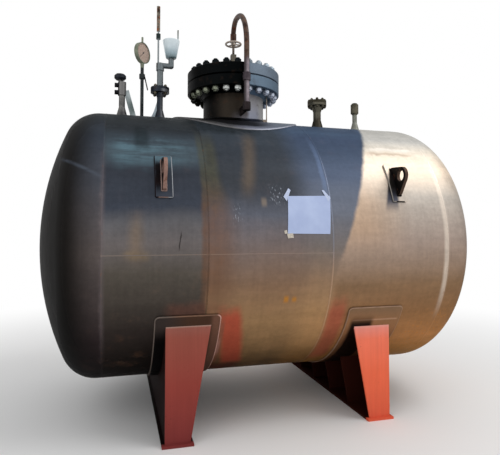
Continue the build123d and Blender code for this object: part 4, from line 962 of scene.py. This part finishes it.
round_turn = np.linspace(0, 2 * math.pi, 900)
GIRTH_BEADS = ((LEFT_SEAM_X, 0.0012), (LEFT_GIRTH_X, 0.0006), (RIGHT_GIRTH_X, 0.0014),
               (RIGHT_SEAM_X, 0.0008))
piece("girth_welds", [bead(*on_shell(x, round_turn), GIRTH_WIDTH, rise, True) for x, rise in GIRTH_BEADS],
      SEAM)
front_line = on_shell(np.linspace(LEFT_SEAM_X, RIGHT_GIRTH_X, 500), math.radians(LONG_SEAM_TURN))
back_line = on_shell(np.linspace(RIGHT_GIRTH_X, RIGHT_SEAM_X, 300), math.radians(BACK_SEAM_TURN))
piece("long_welds", [bead(*front_line, *FRONT_SEAM_BEAD, False), bead(*back_line, *BACK_SEAM_BEAD, False)],
      SEAM)


CURVE_STEPS = 520
FILLET_RIPPLES = 100
FILLET_SAG = 1.6


def saddle_curve(radius, lift):
    """Where an upright cylinder meets the shell: the height is the root of R squared less y squared. Gives
    the points, the shell's normal there and the cylinder's."""
    turn = full_turn(CURVE_STEPS)
    y = radius * np.sin(turn)
    reach = SHELL_R + lift
    z = AXIS_Z + np.sqrt(reach ** 2 - y ** 2)
    points = np.stack([MANWAY_X + radius * np.cos(turn), y, z], -1)
    normal = np.stack([np.zeros_like(y), y / reach, (z - AXIS_Z) / reach], -1)
    out = np.stack([np.cos(turn), np.sin(turn), np.zeros_like(y)], -1)
    return points, normal, out


def fillet(radius, lift, leg, rise):
    """Concave fillet weld round an upright cylinder on the shell. Its outline at each turn runs from the
    cylinder, rise above the plate, to the plate, leg out. It sags towards the corner: it is leg times
    share ** 1.6 out and rise times (1 - share) ** 1.6 up, as the share goes from 0 to 1."""
    points, normal, out = saddle_curve(radius, lift)
    share = np.linspace(0, 1, 6)[None, :, None]
    along = out[:, None, :] * leg * share ** FILLET_SAG
    up = np.array([0.0, 0.0, 1.0]) * rise * (1 - share) ** FILLET_SAG
    ripple = 1 + 0.04 * np.sin(full_turn(CURVE_STEPS) * FILLET_RIPPLES)[:, None, None]
    face = points[:, None, :] + (along + up) * ripple
    foot = points + out * leg - normal * BEAD_EMBED
    plate_z = AXIS_Z + np.sqrt((SHELL_R + lift) ** 2 - face[..., 1] ** 2)
    face[..., 2] += (plate_z - points[:, None, 2]) * share[..., 0] ** FILLET_SAG
    foot[:, 2] = face[:, -1, 2] - BEAD_EMBED * 2
    root = points - out * BEAD_EMBED - normal * BEAD_EMBED
    head = face[:, 0] - out * BEAD_EMBED
    ring = np.concatenate([face, foot[:, None], root[:, None], head[:, None]], 1)
    return ring.reshape(-1, 3), grid_faces(ring.shape[0], ring.shape[1], True, True).tolist()


pad_points, pad_normal, pad_out = saddle_curve(PAD_R, PAD_BEAD_LIFT)
slanted = pad_normal + pad_out
slanted /= np.linalg.norm(slanted, axis=1)[:, None]
# The pad weld is dark on the left and light on the right: painted shade and painted sunlight
piece("pad_weld", [bead(pad_points, slanted, *PAD_BEAD, True)],
      bead_metal("pad_weld", "5f5e60", (MANWAY_X + 0.02, 0.20, "979aa6")))
# The neck's fillet weld is near-black: painted shade at the neck's foot
piece("neck_weld", [fillet(NECK_R, PAD_T, *NECK_FILLET)],
      bead_metal("neck_weld", "0c0b0b", (MANWAY_X + 0.05, 0.10, "1c202c")))

lug_shapes = []
for lug_node in ("lifting_lug_left_front", "lifting_lug_right_front", "lifting_lug_left_back",
                 "lifting_lug_right_back"):
    lug_turn = math.radians(LUG_TURN if "front" in lug_node else -LUG_TURN)
    centre = middle(*span(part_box(lug_node), "x")), lug_turn
    lug_shapes += [bead(*pad_outline(*centre, *LUG_PAD, LUG_PAD_T / 2), *LUG_PAD_BEAD, True),
                   bead(*pad_outline(*centre, *LUG_FOOT, LUG_PAD_T), *LUG_FOOT_BEAD, True)]
# The lug welds turn dark in the lugs' painted shadows and pale at the painted sunlit end
piece("lug_welds", lug_shapes,
      bead_metal("lug_weld", "191215", (-0.862, 0.010, "7f6a64"), (-0.800, 0.008, "86888c"),
                 (0.0, 0.1, "8a8580"), (0.800, 0.004, "161314"), (0.862, 0.004, "ddd0bf")))

wear_shapes = []
for wear_node in ("saddle_wear_plate_left", "saddle_wear_plate_right"):
    ends = span(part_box(wear_node), "x")
    wear_edge = pad_outline(middle(*ends), math.pi, half(*ends), SHELL_R * math.radians(WEAR_HALF_TURN),
                            WEAR_CORNER, WEAR_T / 2, 260)
    wear_shapes.append(bead(*wear_edge, *WEAR_BEAD, True))
piece("wear_plate_welds", wear_shapes,
      bead_metal("wear_weld", "6d625b", (-0.76, 0.06, "7a5d4c"), (-0.475, 0.012, "cfa396"),
                 (0.0, 0.1, "9d806a")))


# Gusset at the foot of the relief nozzle

GUSSET_WALL_X = RELIEF_X - 0.024
GUSSET_FOOT_X = RELIEF_X - 0.078
GUSSET_TOP_Z = 2.400
GUSSET_TOE = 0.012
GUSSET_EMBED = 0.003
GUSSET_BOW = 0.12
GUSSET_T = 0.008


def gusset():
    """Triangular plate: one side on the nozzle, one on the shell, and a long edge bowed inwards."""
    share = np.linspace(0, 1, 12)
    long_x = GUSSET_FOOT_X + (GUSSET_WALL_X - GUSSET_FOOT_X) * share
    toe_z = AXIS_Z + SHELL_R + GUSSET_TOE
    long_z = toe_z + (GUSSET_TOP_Z - toe_z) * (share - GUSSET_BOW * np.sin(math.pi * share))
    under_z = AXIS_Z + SHELL_R - GUSSET_EMBED
    feet = [[GUSSET_WALL_X, under_z], [GUSSET_FOOT_X, under_z]]
    outline = np.vstack([np.stack([long_x, long_z], -1), feet])
    count = len(outline)
    sides = [np.stack([outline[:, 0], np.full(count, y), outline[:, 1]], -1)
             for y in (-GUSSET_T / 2, GUSSET_T / 2)]
    faces = [list(range(count)), list(range(2 * count - 1, count - 1, -1))]
    faces += [[i, count + i, count + (i + 1) % count, (i + 1) % count] for i in range(count)]
    return np.vstack(sides), faces


piece("relief_gusset", [gusset()],
      plain_steel("gusset_steel", "79848c", "a4afb6", "4a3c34", 0.22, metallic=0.5),
      smooth=False)


# Paper and tape

PAPER_LIFT = 0.0015
TAPE_LIFT = 0.0034
SHEET_T = 0.0006
SHEET_STEPS = 24


def wrapped_sheet(corners, lift, curl=0.0):
    """A thin sheet on the shell between four corners, each a station and an angle in degrees: the corners
    are blended across and down. Its lift grows with the square of the distance from the middle times curl.
    Both faces and the edge close it."""
    steps = np.linspace(0, 1, SHEET_STEPS)
    u, v = np.meshgrid(steps, steps, indexing="ij")
    a, b, c, d = np.array(corners, float)[:, :, None, None]
    x, t = a * (1 - u) * (1 - v) + b * u * (1 - v) + c * u * v + d * (1 - u) * v
    rise = lift + curl * ((u - 0.5) ** 2 + (v - 0.5) ** 2)
    outer, inner = (on_shell(x, np.radians(t), height)[0].reshape(-1, 3)
                    for height in (rise + SHEET_T, rise))
    faces = grid_faces(SHEET_STEPS, SHEET_STEPS, False, False).tolist()
    count = len(outer)
    faces += [[count + k for k in face[::-1]] for face in faces]
    grid = np.arange(count).reshape(SHEET_STEPS, SHEET_STEPS)
    rim = np.concatenate([grid[0, :-1], grid[:-1, -1], grid[-1, :0:-1], grid[:0:-1, 0]])
    for a, b in zip(rim, np.roll(rim, -1)):
        faces.append([int(a), int(b), int(b) + count, int(a) + count])
    return np.vstack([outer, inner]), faces


PAPER = ((-0.015, 70.9), (0.290, 70.4), (0.266, 85.6), (-0.034, 85.4))
TOP_TAPES = (((-0.046, 71.2), (-0.004, 67.6), (0.010, 68.4), (-0.026, 73.0)),
             ((0.236, 68.2), (0.250, 68.0), (0.292, 71.4), (0.272, 72.8)))
FOOT_TAPES = (((-0.058, 84.3), (-0.040, 84.1), (-0.036, 85.4), (-0.056, 85.5)),
              ((-0.040, 85.5), (0.002, 85.3), (0.006, 87.0), (-0.034, 87.2)))
piece("paper_sheet", [wrapped_sheet(PAPER, PAPER_LIFT, curl=0.003)], paper_finish())
piece("paper_top_tape", [wrapped_sheet(tape, TAPE_LIFT) for tape in TOP_TAPES],
      plain("top_tape", "a3b0d0", "c0cae0"))
piece("paper_foot_tape", [wrapped_sheet(tape, TAPE_LIFT) for tape in FOOT_TAPES],
      plain("foot_tape", "aaa194", "cfc6b8"))


# Gauge dial
CASE_R = 0.085
CASE_DEPTH = 0.032
ABOVE_CASE = 0.046
GAUGE_X = middle(*span(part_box("gauge"), "x"))
GAUGE_Z = span(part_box("gauge"), "z")[1] - ABOVE_CASE - CASE_R
GAUGE_TURN = math.radians(50.0)
DIAL_SINK = 0.0055
DIAL_DEPTH = CASE_DEPTH / 2 - DIAL_SINK
DIAL_R = CASE_R - 0.008
DIAL_T = 0.0008
DIAL_FACE = DIAL_DEPTH + DIAL_T
# The scale starts low on the left and runs three quarters round; its marks end at one radius
SCALE_START = 225
SCALE_TURN = 270
SCALE_R = 0.072
# Pointer: its tail, tip and half its width. Hub: its radius and thickness
POINTER = -0.015, 0.058, 0.0016
HUB = 0.006, 0.0024


def facing(points):
    """Turns (across, out, up) points of the dial to the gauge's place."""
    points = np.array(points, float)
    cos, sin = math.cos(GAUGE_TURN), math.sin(GAUGE_TURN)
    x = GAUGE_X + points[:, 0] * cos + points[:, 1] * sin
    y = points[:, 0] * sin - points[:, 1] * cos
    return np.stack([x, y, GAUGE_Z + points[:, 2]], -1)


def dial_disc(radius, out, thick):
    """Disc parallel to the dial, from a depth outwards."""
    shape, faces = lathe([(0, 0), (radius, 0), (radius, thick), (0, thick)], 64, 0, 0)
    return facing(np.stack([shape[:, 0], out + shape[:, 2], shape[:, 1]], -1)), faces


def dial_bar(angle, inner, outer, width, out):
    """Raised bar on the dial, from an inner to an outer radius at an angle, and width to either side."""
    cos, sin = math.cos(angle), math.sin(angle)
    points = []
    for depth in (out, out + 0.0006):
        for along, across in ((inner, -width), (outer, -width), (outer, width), (inner, width)):
            points.append((along * cos - across * sin, depth, along * sin + across * cos))
    faces = [[0, 1, 2, 3], [7, 6, 5, 4], [0, 4, 5, 1], [1, 5, 6, 2], [2, 6, 7, 3], [3, 7, 4, 0]]
    return facing(points), faces


piece("gauge_dial", [dial_disc(DIAL_R, DIAL_DEPTH, DIAL_T)],
      plain("gauge_face", "a08a7c", "b89f90", roughness=0.45))
marks = [dial_bar(math.radians(SCALE_START - SCALE_TURN / parts * i), SCALE_R - length, SCALE_R, width,
                  DIAL_FACE)
         for parts, length, width in ((10, 0.010, 0.0008), (50, 0.005, 0.0004)) for i in range(parts + 1)]
pointer = dial_bar(math.radians(SCALE_START), *POINTER, DIAL_FACE + 0.001)
piece("gauge_marks", marks + [pointer, dial_disc(HUB[0], DIAL_FACE, HUB[1])],
      plain("dial_ink", "1a1a1c", "26262a"), smooth=False)


# Camera, light and floor
PHOTO_WIDTH = 500.0
FOCAL_PIXELS = 475.0
SHIFT_Y = -0.032
EYE = (-1.098, -3.910, 1.350)
YAW, PITCH = 0.271, 0.040

view_camera = bpy.data.cameras.new("camera")
view_camera.sensor_width = 36.0
view_camera.lens = view_camera.sensor_width * FOCAL_PIXELS / PHOTO_WIDTH
view_camera.shift_y = SHIFT_Y
camera = add_object("camera", view_camera)
camera.location = EYE
camera.rotation_euler = (math.pi / 2 + PITCH, 0.0, -YAW)
bpy.context.scene.camera = camera


LAMP_SIZE = 4.0
ROOM_LIGHT = 0.75


def soft_light(name, place, aim, power):
    """Square lamp at a place, turned towards what it lights."""
    lamp = bpy.data.lights.new(name, "AREA")
    lamp.shape = "SQUARE"
    lamp.size = LAMP_SIZE
    lamp.energy = power
    made = add_object(name, lamp)
    made.location = place
    away = np.array(place, float) - np.array(aim, float)
    made.rotation_euler = (math.atan2(math.hypot(away[0], away[1]), away[2]), 0.0,
                           math.atan2(away[0], -away[1]))


soft_light("key", (4.0, -3.0, 7.5), (0.3, 0.0, 1.3), 180.0)
soft_light("fill", (-5.0, -4.0, 4.0), (-0.3, 0.0, 1.3), 40.0)

world = bpy.data.worlds.new("studio")
world.use_nodes = True
nodes, links = world.node_tree.nodes, world.node_tree.links
room = nodes["Background"]
room.inputs["Color"].default_value = (1.0, 1.0, 1.0, 1.0)
room.inputs["Strength"].default_value = ROOM_LIGHT
backdrop = nodes.new("ShaderNodeBackground")
backdrop.inputs["Color"].default_value = (1.0, 1.0, 1.0, 1.0)
# What the camera, a mirror or a clear piece shows is the full white; the rest is lit by the room
path = nodes.new("ShaderNodeLightPath")
seen = path.outputs["Is Camera Ray"]
for ray in ("Is Glossy Ray", "Is Transmission Ray"):
    either = nodes.new("ShaderNodeMath")
    either.operation = "MAXIMUM"
    links.new(seen, either.inputs[0])
    links.new(path.outputs[ray], either.inputs[1])
    seen = either.outputs[0]
choose = nodes.new("ShaderNodeMixShader")
links.new(seen, choose.inputs[0])
links.new(room.outputs[0], choose.inputs[1])
links.new(backdrop.outputs[0], choose.inputs[2])
links.new(choose.outputs[0], nodes["World Output"].inputs["Surface"])
bpy.context.scene.world = world


FLOOR_GREY = 0.86
FLOOR_NEAR, FLOOR_FAR = 2.4, 6.0
FLOOR_REACH = 60.0


def studio_floor():
    """Pale floor that turns into the white of the backdrop between two distances from the origin."""
    f = Finish("studio_floor", roughness=0.9, specular=0.1, edge=1.0)
    f.shader.inputs["Base Color"].default_value = (FLOOR_GREY, FLOOR_GREY, FLOOR_GREY, 1.0)
    far = f.node("ShaderNodeVectorMath", {"operation": "LENGTH"}, f.place)
    blend = f.node("ShaderNodeMixShader", {}, far.step(FLOOR_NEAR, FLOOR_FAR),
                   Value(f, f.shader.outputs[0]), f.node("ShaderNodeEmission", {}))
    f.tree.links.new(blend.socket, f.tree.nodes["Material Output"].inputs["Surface"])
    mesh = bpy.data.meshes.new("floor")
    corners = ((-1, -1), (1, -1), (1, 1), (-1, 1))
    mesh.from_pydata([(x * FLOOR_REACH, y * FLOOR_REACH, 0) for x, y in corners], [], [(0, 1, 2, 3)])
    mesh.materials.append(f.material)
    made = add_object("floor", mesh)


studio_floor()
bpy.context.scene.view_settings.view_transform = "Standard"
